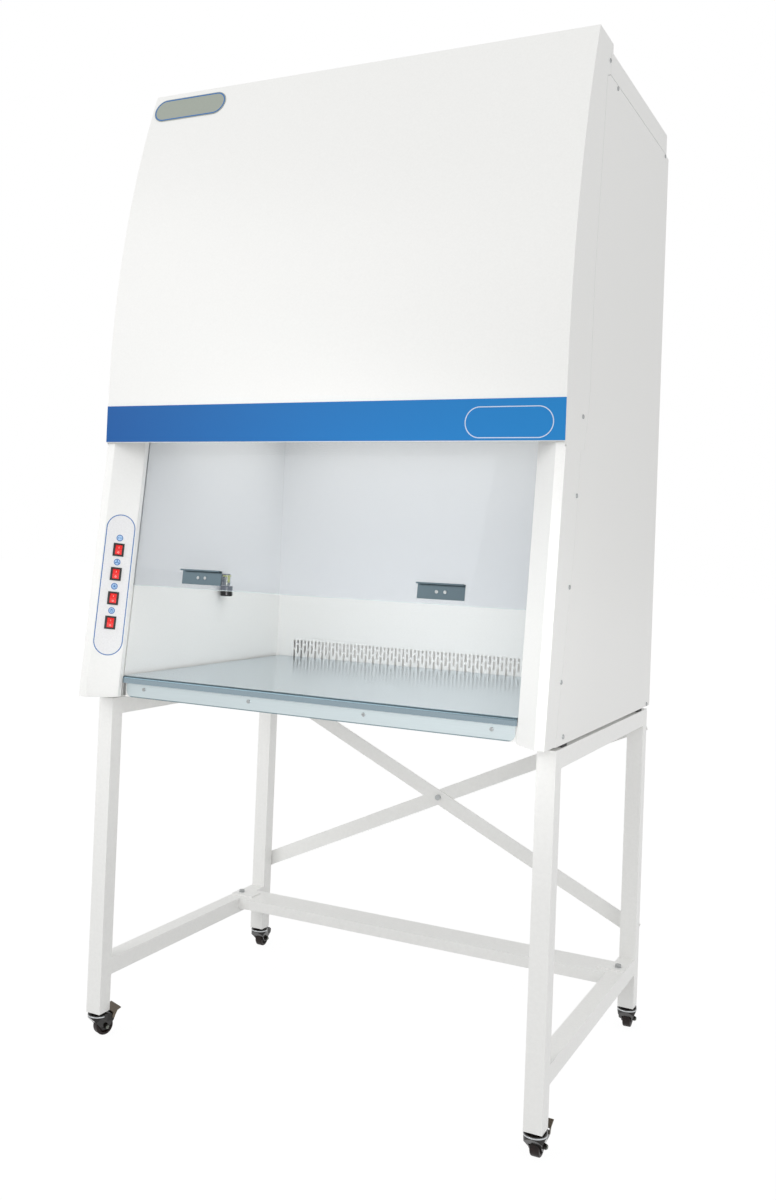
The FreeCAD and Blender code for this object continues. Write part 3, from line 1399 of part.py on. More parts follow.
def blower():
    t = s.sheet
    housing = new_body("blower_housing")
    pad(housing, "YZ_Plane", scroll_left, scroll_right, scroll_outline(size(0)))
    pocket(housing, "YZ_Plane", scroll_left + t, scroll_right - t, scroll_outline(t))
    pocket(housing, "YZ_Plane", scroll_right - t, scroll_right, ("circle", wheel_y, wheel_z, s.inlet_radius))
    pocket(housing, "YZ_Plane", scroll_left, scroll_left + t,
           ("circle", wheel_y, wheel_z, s.shaft_radius + t))
    keep(housing, "blower_housing")

    back = scroll_left + s.wheel_gap
    front = back + s.wheel_width
    rotor = new_body("rotor")
    pad(rotor, "YZ_Plane", back, back + s.wheel_disc, ("circle", 0, 0, s.wheel_radius))
    inner = s.wheel_radius - s.blade_depth
    turn = math.radians(s.blade_angle.value)
    edge = (math.cos(turn), math.sin(turn))
    u = s.blade_depth * edge[0]
    v = s.blade_depth * edge[1]
    du = s.blade_sheet * edge[1]
    dv = s.blade_sheet * edge[0]
    blade = pad(rotor, "YZ_Plane", back + s.wheel_disc, front - s.wheel_disc, [
        (inner, size(0)), (inner + u, v), (inner + u - du, v + dv), (inner - du, dv)])
    ring = rotor.newObject("PartDesign::PolarPattern", "blade_ring")
    ring.Originals = [blade]
    ring.Axis = (blade.Profile[0], ["N_Axis"])
    bind(ring, "Angle", 360)
    bind(ring, "Occurrences", s.blade_count)
    rotor.Tip = ring
    pad(rotor, "YZ_Plane", front - s.wheel_disc, front, ("circle", 0, 0, s.wheel_radius),
        ("circle", 0, 0, inner - s.blade_sheet))
    pad(rotor, "YZ_Plane", back + s.wheel_disc, back + s.hub_length, ("circle", 0, 0, s.hub_radius))
    pocket(rotor, "YZ_Plane", back, back + s.hub_length, ("circle", 0, 0, s.shaft_radius))
    wheel = at(rotor, 0, wheel_y, wheel_z)

    shaft_length = s.shaft_depth + s.wheel_gap + s.hub_length
    shaft = rod("shaft", s.shaft_radius, shaft_length, "x", scroll_left - s.shaft_depth, wheel_y, wheel_z)
    keep(group("wheel_and_shaft", [wheel, shaft]), "blower_wheel")
    can = rod("motor_can", s.motor_radius, s.motor_length, "x", scroll_left - s.motor_length,
              wheel_y, wheel_z)
    cap = rod("motor_cap", s.motor_radius * 0.6, s.bolt, "x", scroll_left - s.motor_length - s.bolt,
              wheel_y, wheel_z)
    bearing = rod("motor_bearing", s.shaft_radius + s.shaft_play, s.shaft_depth + s.sheet, "x",
                  scroll_left - s.shaft_depth - s.sheet, wheel_y, wheel_z)
    motor = cut("motor_bored", fuse("motor_solid", [can, cap]), [bearing])

    middle = scroll_left - s.motor_length / 2
    saddle = new_body("motor_saddle")
    w = s.saddle_spread / 2
    cradle = s.motor_radius
    drop = root(cradle * cradle - w * w)
    pad(saddle, "YZ_Plane", middle - s.saddle_width / 2, middle + s.saddle_width / 2, [
        (wheel_y - w, deck), (wheel_y + w, deck), (wheel_y + w, wheel_z - drop, cradle, -1),
        (wheel_y - w, wheel_z - drop),
    ])
    t3 = s.saddle_sheet
    pocket(saddle, "YZ_Plane", middle - s.saddle_width / 2 + t3, middle + s.saddle_width / 2 - t3,
           rectangle(wheel_y - w - 1, wheel_y + w + 1, deck + t3, wheel_z - cradle - t3))
    keep(group("motor_and_saddle", [motor, saddle]), "blower_motor")


def prefilter():
    reach = (s.vent_count * s.vent_pitch) / 2 + s.prefilter_margin
    deep = s.vent_length / 2 + s.prefilter_margin + s.prefilter_rim
    high = s.lid_top - s.sheet
    low = high - s.prefilter_height
    rim = s.prefilter_rim
    body = new_body("prefilter_frame_body")
    y = s.fan_y
    pad(body, "XY_Plane", low, high, rectangle(-reach - rim, reach + rim, y - deep, y + deep),
        rectangle(-reach, reach, y - deep + rim, y + deep - rim))
    keep(body, "pre_filter_frame")
    keep(box("prefilter_pad", (-reach, reach), (y - deep + rim, y + deep - rim),
             (low + s.media_inset, high - s.media_inset)), "pre_filter_pad")


# Lamps

def lamps():
    y = -s.lamp_y
    z = s.lamp_z
    inside = s.sheet - s.front_reach
    tube_half = s.lamp_length / 2
    work_tube = rod("lamp_glass", s.lamp_radius, s.lamp_length, "x", -tube_half, y, z)
    batten_low = s.band_top - s.batten_height
    tray = box("batten_tray", (-tube_half - s.holder * 2, tube_half + s.holder * 2),
               (inside, inside + s.batten_depth), (batten_low, s.band_top))
    ends = []
    for side in (-1, 1):
        ends.append(box("lamp_end", (side * tube_half, side * (tube_half + s.holder)),
                        (inside + s.sheet * 2, y + s.lamp_radius), (s.band_top - s.holder, z + s.lamp_radius)))
    holders = [fuse("batten", [tray] + ends)]
    rear = s.chamber_rear
    uv_y = rear - s.uv_stand
    uv_half = s.uv_length / 2
    germicidal_tube = rod("uv_glass", s.uv_radius, s.uv_length, "x", -uv_half, uv_y, s.uv_z)
    keep(group("tube_pair", [work_tube, germicidal_tube]), "lamp_tubes")
    for side in (-1, 1):
        holders.append(box("uv_end", (side * uv_half, side * (uv_half + s.holder)),
                           (uv_y - s.uv_radius, rear), (s.uv_z - s.holder / 2, s.uv_z + s.holder / 2)))
    keep(group("holder_set", holders), "lamp_holders")


# Service tap on the left chamber wall and cable gland on the rear panel

def service_tap():
    x = s.tap_reach - wall_x
    collar = s.tap_z - s.tap_flange
    knob_top = collar - s.seam
    flange = rod("tap_flange_disc", s.tap_flange, s.sheet * 2, "x", -wall_x, s.tap_y, s.tap_z)
    neck = rod("tap_neck", s.tap_radius * 0.7, s.tap_reach, "x", -wall_x, s.tap_y, s.tap_z)
    trunk = rod("tap_trunk", s.tap_radius, s.tap_flange * 2, "z", x, s.tap_y, collar)
    seat = rod("tap_seat", s.spindle_radius + s.shaft_play, s.tap_radius + s.seam, "z",
               x, s.tap_y, knob_top)
    keep(cut("tap_bored", fuse("tap_solid", [flange, neck, trunk]), [seat]), "tap_body")
    r = s.knob_radius
    deep = s.knob_height
    groove = s.knob_groove
    spindle = s.spindle_radius
    grip = new_body("knob_turned")
    turned = grip.newObject("PartDesign::Revolution", "knob_revolved")
    mid = -deep / 2
    outline = new_sketch(grip, "XZ_Plane", 0, [[
        (size(0), s.tap_radius - s.sheet), (spindle, s.tap_radius - s.sheet), (spindle, size(0)),
        (r - 1.5, size(0), 1.5, -1), (r, size(-1.5)), (r, mid + groove / 2),
        (r - groove, mid + groove / 2), (r - groove, mid - groove / 2), (r, mid - groove / 2),
        (r, 3 - deep, 3, -1), (r - 3, -deep), (size(0), -deep),
    ]])
    turned.Profile = outline
    turned.ReferenceAxis = (outline, ["V_Axis"])
    bind(turned, "Angle", 360)
    keep(at(grip, x, s.tap_y, knob_top), "tap_knob")


def cable_gland():
    """A domed gland through the rear panel, its bore along Y."""
    back = s.body_rear + s.rear_tray
    tail = s.gland_thread
    bore = s.gland_bore
    r = s.gland_flange
    body = revolve("cable_gland", "y", [
        (bore, -tail), (tail, -tail), (tail, size(0)), (r, size(0)), (r, tail * 0.75),
        (r - 2, tail), (r - 2, tail * 2), (bore + 2.5, s.gland_reach), (bore, s.gland_reach),
    ])
    keep(at(body, gland_x, back, gland_z), "cable_gland")


stand_frame(-1, "left_stand_frame")
stand_frame(1, "right_stand_frame")
stand_bolts(cross_member())
keep(group("brace_set", [brace_bar("brace_near", -1, 0), brace_bar("brace_far", 1, 1)]), "brace_bars")
cabinet_pads()
caster_sockets()
for corner in CASTERS:
    caster_fork(corner)
    caster_wheel(corner)
    if CASTERS[corner][3]:
        brake_pedal(corner)
base_pan()
side_panel(-1, "left_side_panel")
side_panel(1, "right_side_panel")
rear_panel()
lid()
lid_rails()
front_cover()
front_band()
badge_plate()
jambs()
control_cover()
switches()
sash()
sash_guides()
keep(group("inner_wall_pair", [inner_wall(-1), inner_wall(1)]), "chamber_side_walls")
back_wall()
return_grille()
worktop()
worktop_ribs()
front_strip()
diffuser()
ceiling_ledges()
main_filter()
plenum_box()
blower()
prefilter()
lamps()
service_tap()
cable_gland()

doc.recompute()


# Every object must be sound before anything is written

faults = [item.Label for item in doc.Objects if {"Invalid", "Error"} & set(item.State)]
faults += [item.Label for item in kept if item.Shape.isNull() or not item.Shape.isValid()]
if faults:
    raise RuntimeError("objects that failed: " + ", ".join(faults))

os.makedirs("parts", exist_ok=True)
for item in kept:
    item.Shape.exportStep(f"parts/{item.Label}.step")
print(len(kept), "nodes,", sum(len(item.Shape.Solids) for item in kept), "solids")
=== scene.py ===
import json
import math

import bmesh
import bpy
from mathutils import Matrix, Vector


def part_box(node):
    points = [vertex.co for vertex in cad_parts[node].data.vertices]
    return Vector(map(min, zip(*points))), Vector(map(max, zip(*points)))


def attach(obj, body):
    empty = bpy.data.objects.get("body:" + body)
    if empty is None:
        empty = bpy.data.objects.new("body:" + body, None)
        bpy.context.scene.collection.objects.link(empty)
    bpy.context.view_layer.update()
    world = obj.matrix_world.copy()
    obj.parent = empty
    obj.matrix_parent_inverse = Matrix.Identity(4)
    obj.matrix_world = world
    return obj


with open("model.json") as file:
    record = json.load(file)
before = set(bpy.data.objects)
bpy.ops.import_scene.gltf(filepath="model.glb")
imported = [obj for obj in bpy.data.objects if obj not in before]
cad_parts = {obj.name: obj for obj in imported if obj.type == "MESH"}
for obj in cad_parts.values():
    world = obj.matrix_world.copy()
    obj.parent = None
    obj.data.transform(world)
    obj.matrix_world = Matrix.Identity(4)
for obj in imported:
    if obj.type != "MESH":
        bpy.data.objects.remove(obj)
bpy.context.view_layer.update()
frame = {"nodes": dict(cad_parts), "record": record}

bl_info = {
    "name": "Laminar Flow Cabinet",
    "version": (1, 0, 0),
    "blender": (4, 5, 0),
    "location": "View3D > Sidebar > Cabinet",
    "description": "Dresses the cabinet's frame with its finishes, fasteners, printed marks and studio",
    "category": "Object",
}

MM = 0.001


# Places taken from the frame

FLOOR_TOP = 0.731
LEAN = 0.118
LEAN_ANGLE = math.atan(LEAN)
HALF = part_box("lid")[1].x
STAND_LOW, STAND_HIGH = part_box("right_stand_frame")
STAND_Y = (STAND_LOW.y + STAND_HIGH.y) / 2
BAND_LOW, BAND_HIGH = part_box("front_band")
STRIP_LOW, STRIP_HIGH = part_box("front_strip")
BENCH_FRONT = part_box("worktop")[0].y
# Depths of the worktop's nose and of the strip's lower bend, across which a painted dark reflection darkens
# the steel
BENCH_NOSE = 6 * MM
STRIP_BEND = 4 * MM
SHEET = 1.5 * MM


# The left splay: its corner from the stand's middle, the label's skin, and its switches up its slope

SPLAY_X = -0.4585
SPLAY_Y = -0.4045
LABEL_SKIN = 1.6 * MM
LABEL_MIDDLE = 0.2345
LABEL_LENGTH = 0.2985
LABEL_WIDTH = 0.0615
SWITCHES = 4
FIRST_SWITCH = 154.1 * MM
SWITCH_PITCH = 51.4 * MM
SIGN_RISE = 25.3 * MM
INK = 0.12 * MM


# Each rocker's cap: its half length, and its height at the middle and the ends as shares of that

ROCKER_REACH = 10.2 * MM
ROCKER_REST = math.radians(9)
ROCKER_MIDDLE = 0.2115
ROCKER_END = 0.423
ROCKER_EDGE = 0.906


# The sash's lower edge at rest, and its glass

SASH_LOW = 0.964
SASH_FRONT = -0.368
GLASS_WIDTH = 0.8998
GLASS_THICK = 5.1 * MM
HANDLE_X = 265
HANDLE_SCREW = 8.5


# The front cover's curve: its radius, and the height and the depth of its foremost point

COVER_RADIUS = 1.98953
COVER_MIDDLE = 1.342
COVER_FRONT = -0.371


# Each caster: its name, its corner, how far it is swivelled, and whether it has a brake

CASTERS = (
    ("front_left", -1, -1, -22, True),
    ("front_right", 1, -1, 0, True),
    ("rear_left", -1, 1, 0, False),
    ("rear_right", 1, 1, 4, False),
)
LEG_X = 0.4825
LEG_Y = 0.3395
TRAIL = 0.014
AXLE_HEIGHT = 0.020


def splay_frame():
    """The left splay's own axes: X across it, Y up along it, Z out towards the user."""
    up = Vector((0, LEAN, 1)).normalized()
    out = Vector((1, 1, 0)).cross(up).normalized()
    across = up.cross(out)
    turn = Matrix((across, up, out)).transposed().to_4x4()
    return Matrix.Translation((SPLAY_X, STAND_Y + SPLAY_Y, FLOOR_TOP)) @ turn


def sash_frame():
    """The sash's own axes: X across it, Z up along it, Y through it, from its lower edge."""
    place = Vector((0, (SASH_LOW - FLOOR_TOP) * LEAN + SASH_FRONT + STAND_Y, SASH_LOW))
    return Matrix.Translation(place) @ Matrix.Rotation(-LEAN_ANGLE, 4, "X")


# Colours

def linear(hex_value):
    """Linear RGBA from an sRGB hex value."""
    parts = [int(hex_value[i:i + 2], 16) / 255 for i in (1, 3, 5)]
    curve = [p / 12.92 if p <= 0.04045 else ((p + 0.055) / 1.055) ** 2.4 for p in parts]
    return (*curve, 1.0)


class CabinetSizes(bpy.types.PropertyGroup):
    screw_head: bpy.props.FloatProperty(
        name="Screw head", description="Diameter of the panel screws' heads",
        default=8.5 * MM, min=4 * MM, max=14 * MM, unit="LENGTH")
    print_line: bpy.props.FloatProperty(
        name="Printed line", description="Width of the blue line round the control label",
        default=2 * MM, min=0.5 * MM, max=4 * MM, unit="LENGTH")
    icon: bpy.props.FloatProperty(
        name="Icon", description="Diameter of the printed sign over each switch",
        default=14 * MM, min=8 * MM, max=20 * MM, unit="LENGTH")
    badge_line: bpy.props.FloatProperty(
        name="Badge edge", description="Width of the badge plate's blue edge",
        default=2.6 * MM, min=1 * MM, max=6 * MM, unit="LENGTH")


class CabinetColours(bpy.types.PropertyGroup):
    coat: bpy.props.FloatVectorProperty(
        name="Powder coat", description="Colour of the cabinet's and the stand's coat",
        default=linear("#f3f3f1"), size=4, min=0, max=1, subtype="COLOR")
    band_left: bpy.props.FloatVectorProperty(
        name="Band, left", description="Blue of the band's left end",
        default=linear("#125aa2"), size=4, min=0, max=1, subtype="COLOR")
    band_right: bpy.props.FloatVectorProperty(
        name="Band, right", description="Blue of the band's right end",
        default=linear("#1a80c5"), size=4, min=0, max=1, subtype="COLOR")
    rocker: bpy.props.FloatVectorProperty(
        name="Rocker", description="Red of the switch rockers",
        default=linear("#ee1410"), size=4, min=0, max=1, subtype="COLOR")


# Shader nodes

def node(tree, kind, inputs=None, **settings):
    """Adds a shader node, sets its options and fills or links its sockets."""
    item = tree.nodes.new(kind)
    for field, value in settings.items():
        setattr(item, field, value)
    for name, value in (inputs or {}).items():
        if isinstance(value, bpy.types.NodeSocket):
            tree.links.new(value, item.inputs[name])
        else:
            item.inputs[name].default_value = value
    return item


def surface(name, **sockets):
    """A material with one Principled shader whose sockets are set to plain values."""
    material = bpy.data.materials.new(name)
    material.use_nodes = True
    tree = material.node_tree
    shader = tree.nodes["Principled BSDF"]
    for key, value in sockets.items():
        shader.inputs[key.replace("_", " ")].default_value = value
    return material, tree, shader


def grained(tree, shader, scale, depth, colours=None, detail=2.0, stretch=(1, 1, 1)):
    """Noise in object space that drives a fine bump and, if given, two close colours."""
    place = node(tree, "ShaderNodeTexCoord").outputs["Object"]
    grid = node(tree, "ShaderNodeMapping", {"Vector": place, "Scale": stretch}).outputs["Vector"]
    noise = node(tree, "ShaderNodeTexNoise", {"Vector": grid, "Scale": scale, "Detail": detail})
    bump = node(tree, "ShaderNodeBump",
                {"Height": noise.outputs["Fac"], "Distance": depth, "Strength": 0.6})
    tree.links.new(bump.outputs["Normal"], shader.inputs["Normal"])
    if colours:
        ramp = node(tree, "ShaderNodeValToRGB", {"Fac": noise.outputs["Fac"]})
        for stop, colour, spot in zip(ramp.color_ramp.elements, colours, (0.3, 0.7)):
            stop.color = colour
            stop.position = spot
        tree.links.new(ramp.outputs["Color"], shader.inputs["Base Color"])
    return noise


def tinted(colour, factor):
    return (*(c * factor for c in colour[:3]), 1.0)


def powder_coat(name, colour):
    """Polyester powder coat on steel: an even satin with a faint orange peel.

    The real peel is about 1.5 mm across; it is drawn at 4 mm so that it shows."""
    material, tree, shader = surface(name, Roughness=0.36, IOR=1.5)
    grained(tree, shader, 1 / (4 * MM), 0.05 * MM, (tinted(colour, 0.975), colour))
    return material


def coated_tube(name, colour):
    """The same coat on welded square tube, a little thicker and glossier."""
    material, tree, shader = surface(name, Roughness=0.3, IOR=1.5)
    grained(tree, shader, 1 / (7 * MM), 0.12 * MM, (tinted(colour, 0.97), colour))
    return material


def brushed_stainless(name, tone, grain=(0.02, 1, 1), roughness=0.3, painted_bend_reflection=None):
    """Austenitic stainless sheet with a fine grain one way: soft, drawn-out reflections.

    Grain lines of about 0.2 mm are drawn at 1 mm. A bend band, given as (axis, low, high, stops), darkens
    the colour between those places: a painted dark reflection along the bend."""
    material, tree, shader = surface(name, Metallic=1.0, Roughness=roughness)
    noise = grained(tree, shader, 1 / (1 * MM), 0.02 * MM, stretch=grain)
    ramp = node(tree, "ShaderNodeValToRGB", {"Fac": noise.outputs["Fac"]})
    ramp.color_ramp.elements[0].color = tinted(linear(tone), 0.9)
    ramp.color_ramp.elements[1].color = linear(tone)
    colour = ramp.outputs["Color"]
    # Painted dark reflection: the colour is darkened in a band across the bend between low and high
    if painted_bend_reflection:
        axis, low, high, stops = painted_bend_reflection
        place = node(tree, "ShaderNodeTexCoord").outputs["Object"]
        split = node(tree, "ShaderNodeSeparateXYZ", {"Vector": place})
        spot = node(tree, "ShaderNodeMapRange",
                    {"Value": split.outputs[axis], "From Min": low, "From Max": high})
        shade = node(tree, "ShaderNodeValToRGB", {"Fac": spot.outputs["Result"]})
        for _ in stops[2:]:
            shade.color_ramp.elements.new(0.5)
        for stop, (spot_at, grey) in zip(shade.color_ramp.elements, stops):
            stop.position = spot_at
            stop.color = linear(grey)
        mix = node(tree, "ShaderNodeMix", {6: colour, 7: shade.outputs["Color"]},
                   data_type="RGBA", blend_type="MULTIPLY")
        mix.inputs[0].default_value = 1.0
        colour = mix.outputs[2]
    tree.links.new(colour, shader.inputs["Base Color"])
    return material


def galvanised_sheet(name):
    """Hot-dip zinc on steel: dull grey with pale crystal flowers about 9 mm across."""
    material, tree, shader = surface(name, Metallic=1.0, Roughness=0.42)
    place = node(tree, "ShaderNodeTexCoord").outputs["Object"]
    cells = node(tree, "ShaderNodeTexVoronoi", {"Vector": place, "Scale": 1 / (9 * MM)})
    tone = node(tree, "ShaderNodeSeparateColor", {"Color": cells.outputs["Color"]})
    ramp = node(tree, "ShaderNodeValToRGB", {"Fac": tone.outputs["Red"]})
    ramp.color_ramp.elements[0].color = linear("#b7bdc0")
    ramp.color_ramp.elements[1].color = linear("#cbd0d3")
    tree.links.new(ramp.outputs["Color"], shader.inputs["Base Color"])
    return material


def plated_steel(name, tone, roughness):
    """Zinc, nickel or passivated plate on small turned and pressed steel."""
    material, tree, shader = surface(name, Metallic=1.0, Roughness=roughness)
    grained(tree, shader, 1 / (2 * MM), 0.01 * MM, (tinted(linear(tone), 0.85), linear(tone)))
    return material


def black_nickel(name):
    """Black nickel plate on pressed steel: dark brown-black with a hard, bright gloss."""
    material, tree, shader = surface(
        name, Roughness=0.14, IOR=1.55, Specular_IOR_Level=0.3, Coat_Weight=0.12, Coat_Roughness=0.04)
    grained(tree, shader, 1 / (9 * MM), 0.04 * MM, (linear("#080707"), linear("#1b1511")))
    return material


def moulded_plastic(name, tone, roughness=0.4):
    """Injection-moulded plastic with a fine spark-eroded texture of about 0.5 mm, drawn at 1 mm."""
    material, tree, shader = surface(name, Roughness=roughness, IOR=1.46)
    grained(tree, shader, 1 / (1 * MM), 0.02 * MM, (tinted(linear(tone), 0.85), linear(tone)))
    return material


def lit_plastic(name, colour):
    """Clear red polycarbonate over a small neon lamp: a saturated colour with a soft inner glow."""
    material, tree, shader = surface(
        name, Roughness=0.25, IOR=1.58, Emission_Color=colour, Emission_Strength=0.18)
    grained(tree, shader, 1 / (4 * MM), 0.02 * MM, (tinted(colour, 0.8), colour))
    return material


def tempered_glass(name):
    """Clear soda-lime sheet: almost unseen face on, with a cool cast and a mirror glance.

    It is drawn as a see-through coat, so the light that reaches the chamber isn't lost."""
    material, tree, shader = surface(
        name, Base_Color=linear("#97a0b0"), Roughness=0.02, IOR=1.52, Alpha=0.18)
    grained(tree, shader, 1 / (120 * MM), 0.02 * MM)
    material.surface_render_method = "BLENDED"
    return material


def polished_edge(name):
    """The sash's ground and polished edge: a real pale green cast, drawn near white as a painted highlight
    of the light the edge gathers.
    """
    material, tree, shader = surface(name, Roughness=0.12, IOR=1.52, Alpha=0.75)
    # Painted highlight: the edge's green is drawn near white
    grained(tree, shader, 1 / (6 * MM), 0.01 * MM, (linear("#cfe0dd"), linear("#eef6f5")))
    return material


def screen_print(name, tone):
    """Screen ink on film: flat, slightly glossy and a touch uneven."""
    material, tree, shader = surface(name, Roughness=0.35, IOR=1.48)
    grained(tree, shader, 1 / (3 * MM), 0.004 * MM, (tinted(linear(tone), 0.93), linear(tone)))
    return material


def printed_band(name, left, right):
    """Cast vinyl under a satin laminate; its blue is drawn darker at the left end and lighter at the right.
    """
    material, tree, shader = surface(name, Roughness=0.4, IOR=1.48, Specular_IOR_Level=0.25)
    place = node(tree, "ShaderNodeTexCoord").outputs["Object"]
    split = node(tree, "ShaderNodeSeparateXYZ", {"Vector": place})
    spot = node(tree, "ShaderNodeMapRange",
                {"Value": split.outputs["X"], "From Min": -HALF, "From Max": HALF})
    ramp = node(tree, "ShaderNodeValToRGB", {"Fac": spot.outputs["Result"]})
    ramp.color_ramp.elements[0].color = left
    ramp.color_ramp.elements[1].color = right
    tree.links.new(ramp.outputs["Color"], shader.inputs["Base Color"])
    grain = node(tree, "ShaderNodeTexNoise", {"Vector": place, "Scale": 1 / (2 * MM)})
    bump = node(tree, "ShaderNodeBump",
                {"Height": grain.outputs["Fac"], "Distance": 0.01 * MM, "Strength": 0.4})
    tree.links.new(bump.outputs["Normal"], shader.inputs["Normal"])
    return material


def pleated_media(name):
    """Glass-fibre paper in pleats of 3.5 mm, seen as fine pale ribs, with painted shade darkening the
    colour in each pleat's valley.
    """
    material, tree, shader = surface(name, Roughness=0.9, IOR=1.45)
    place = node(tree, "ShaderNodeTexCoord").outputs["Object"]
    ribs = node(tree, "ShaderNodeTexWave", {"Vector": place, "Scale": 1 / (7 * MM)}, bands_direction="X")
    bump = node(tree, "ShaderNodeBump",
                {"Height": ribs.outputs["Fac"], "Distance": 1.5 * MM, "Strength": 1.0})
    tree.links.new(bump.outputs["Normal"], shader.inputs["Normal"])
    # Painted shade: the colour follows the pleats' height and is darker in the valleys
    ramp = node(tree, "ShaderNodeValToRGB", {"Fac": ribs.outputs["Fac"]})
    ramp.color_ramp.elements[0].color = linear("#c9c8c2")
    ramp.color_ramp.elements[1].color = linear("#efeee9")
    tree.links.new(ramp.outputs["Color"], shader.inputs["Base Color"])
    return material


def wheel_tread(name):
    """Dark moulded tread, worn matt."""
    material, tree, shader = surface(name, Roughness=0.45, IOR=1.5, Specular_IOR_Level=0.3)
    grained(tree, shader, 1 / (5 * MM), 0.05 * MM, (linear("#0e0605"), linear("#241410")))
    return material


def coated_lamp(name):
    """Opal phosphor behind thin glass."""
    material, tree, shader = surface(name, Roughness=0.2, IOR=1.5)
    grained(tree, shader, 1 / (30 * MM), 0.01 * MM, (linear("#eef2f4"), linear("#fbfdfd")))
    return material


# Mesh helpers

def piece(name, mesh, place, material, body, smooth=False):
    """Turns a bmesh into a named object at the origin, with its place in its mesh."""
    bmesh.ops.transform(mesh, matrix=place, verts=mesh.verts)
    bmesh.ops.recalc_face_normals(mesh, faces=mesh.faces)
    data = bpy.data.meshes.new(name)
    mesh.to_mesh(data)
    mesh.free()
    data.materials.append(material)
    if smooth:
        data.shade_smooth()
    thing = bpy.data.objects.new(name, data)
    bpy.context.scene.collection.objects.link(thing)
    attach(thing, body)
    return thing


def merged(shapes):
    """One bmesh from several (bmesh, place) pairs."""
    whole = bmesh.new()
    for shape, place in shapes:
        bmesh.ops.transform(shape, matrix=place, verts=shape.verts)
        data = bpy.data.meshes.new("part")
        shape.to_mesh(data)
        shape.free()
        whole.from_mesh(data)
        bpy.data.meshes.remove(data)
    return whole


def pan_head(radius, height):
    """A pan-head screw seen from outside: a rounded head with a cross recess, along +Z."""
    mesh = bmesh.new()
    bmesh.ops.create_cone(mesh, cap_ends=True, segments=16, radius1=radius, radius2=radius, depth=height)
    bmesh.ops.translate(mesh, vec=(0, 0, height / 2), verts=mesh.verts)
    top = max(mesh.faces, key=lambda face: face.calc_center_median().z)
    bmesh.ops.bevel(mesh, geom=list(top.edges), offset=height * 0.6, segments=3, profile=0.5,
                    affect="EDGES", material=-1)
    top = max(mesh.faces, key=lambda face: face.calc_center_median().z)
    bmesh.ops.inset_region(mesh, faces=[top], thickness=radius * 0.1, use_boundary=True)
    for place, corner in enumerate(top.verts):
        reach = 0.5 * radius if place % 4 == 0 else 0.22 * radius
        flat = Vector((corner.co.x, corner.co.y, 0)).normalized() * reach
        corner.co = (flat.x, flat.y, corner.co.z)
    sunk = bmesh.ops.extrude_discrete_faces(mesh, faces=[top])["faces"]
    bmesh.ops.translate(mesh, vec=(0, 0, -height * 0.7), verts=sunk[0].verts)
    return mesh


def stadium(length, width, line, height, segments=48):
    """A long rounded shape in the XY plane, along Y: a thin ring, or solid where line is 0."""
    mesh = bmesh.new()
    bmesh.ops.create_circle(mesh, cap_ends=True, segments=segments, radius=width / 2)
    shift = (length - width) / 2
    for corner in mesh.verts:
        corner.co.y += shift if corner.co.y > 0 else -shift
    if line:
        face = mesh.faces[:][0]
        bmesh.ops.inset_region(mesh, faces=[face], thickness=line, use_boundary=True)
        bmesh.ops.delete(mesh, geom=[face], context="FACES")
    grown = bmesh.ops.extrude_face_region(mesh, geom=mesh.faces[:], use_keep_orig=True)["geom"]
    lifted = [item for item in grown if isinstance(item, bmesh.types.BMVert)]
    bmesh.ops.translate(mesh, vec=(0, 0, height), verts=lifted)
    return mesh


def bar(x, y, z):
    """A small block with softened edges, centred at the origin."""
    mesh = bmesh.new()
    bmesh.ops.create_cube(mesh, size=1)
    bmesh.ops.scale(mesh, vec=(x, y, z), verts=mesh.verts)
    bmesh.ops.bevel(mesh, geom=mesh.edges[:], offset=min(x, y, z) * 0.2, segments=2, profile=0.5,
                    affect="EDGES", material=-1)
    return mesh


FACING = {
    "-y": Matrix.Rotation(math.pi / 2, 4, "X"),
    "+y": Matrix.Rotation(-math.pi / 2, 4, "X"),
    "+x": Matrix.Rotation(math.pi / 2, 4, "Y"),
    "-x": Matrix.Rotation(-math.pi / 2, 4, "Y"),
    "+z": Matrix.Identity(4),
}


def screws(name, places, body="cabinet", radius=4.2 * MM, height=2.2 * MM, base=None):
    """Screws at (x, y, z, way the head faces)."""
    shapes = []
    for x, y, z, way in places:
        place = (base or Matrix()) @ Matrix.Translation((x, y, z)) @ FACING[way]
        shapes.append((pan_head(radius, height), place))
    return piece(name, merged(shapes), Matrix(), FINISHES["zinc"], body)


FINISHES = {}


# Operators

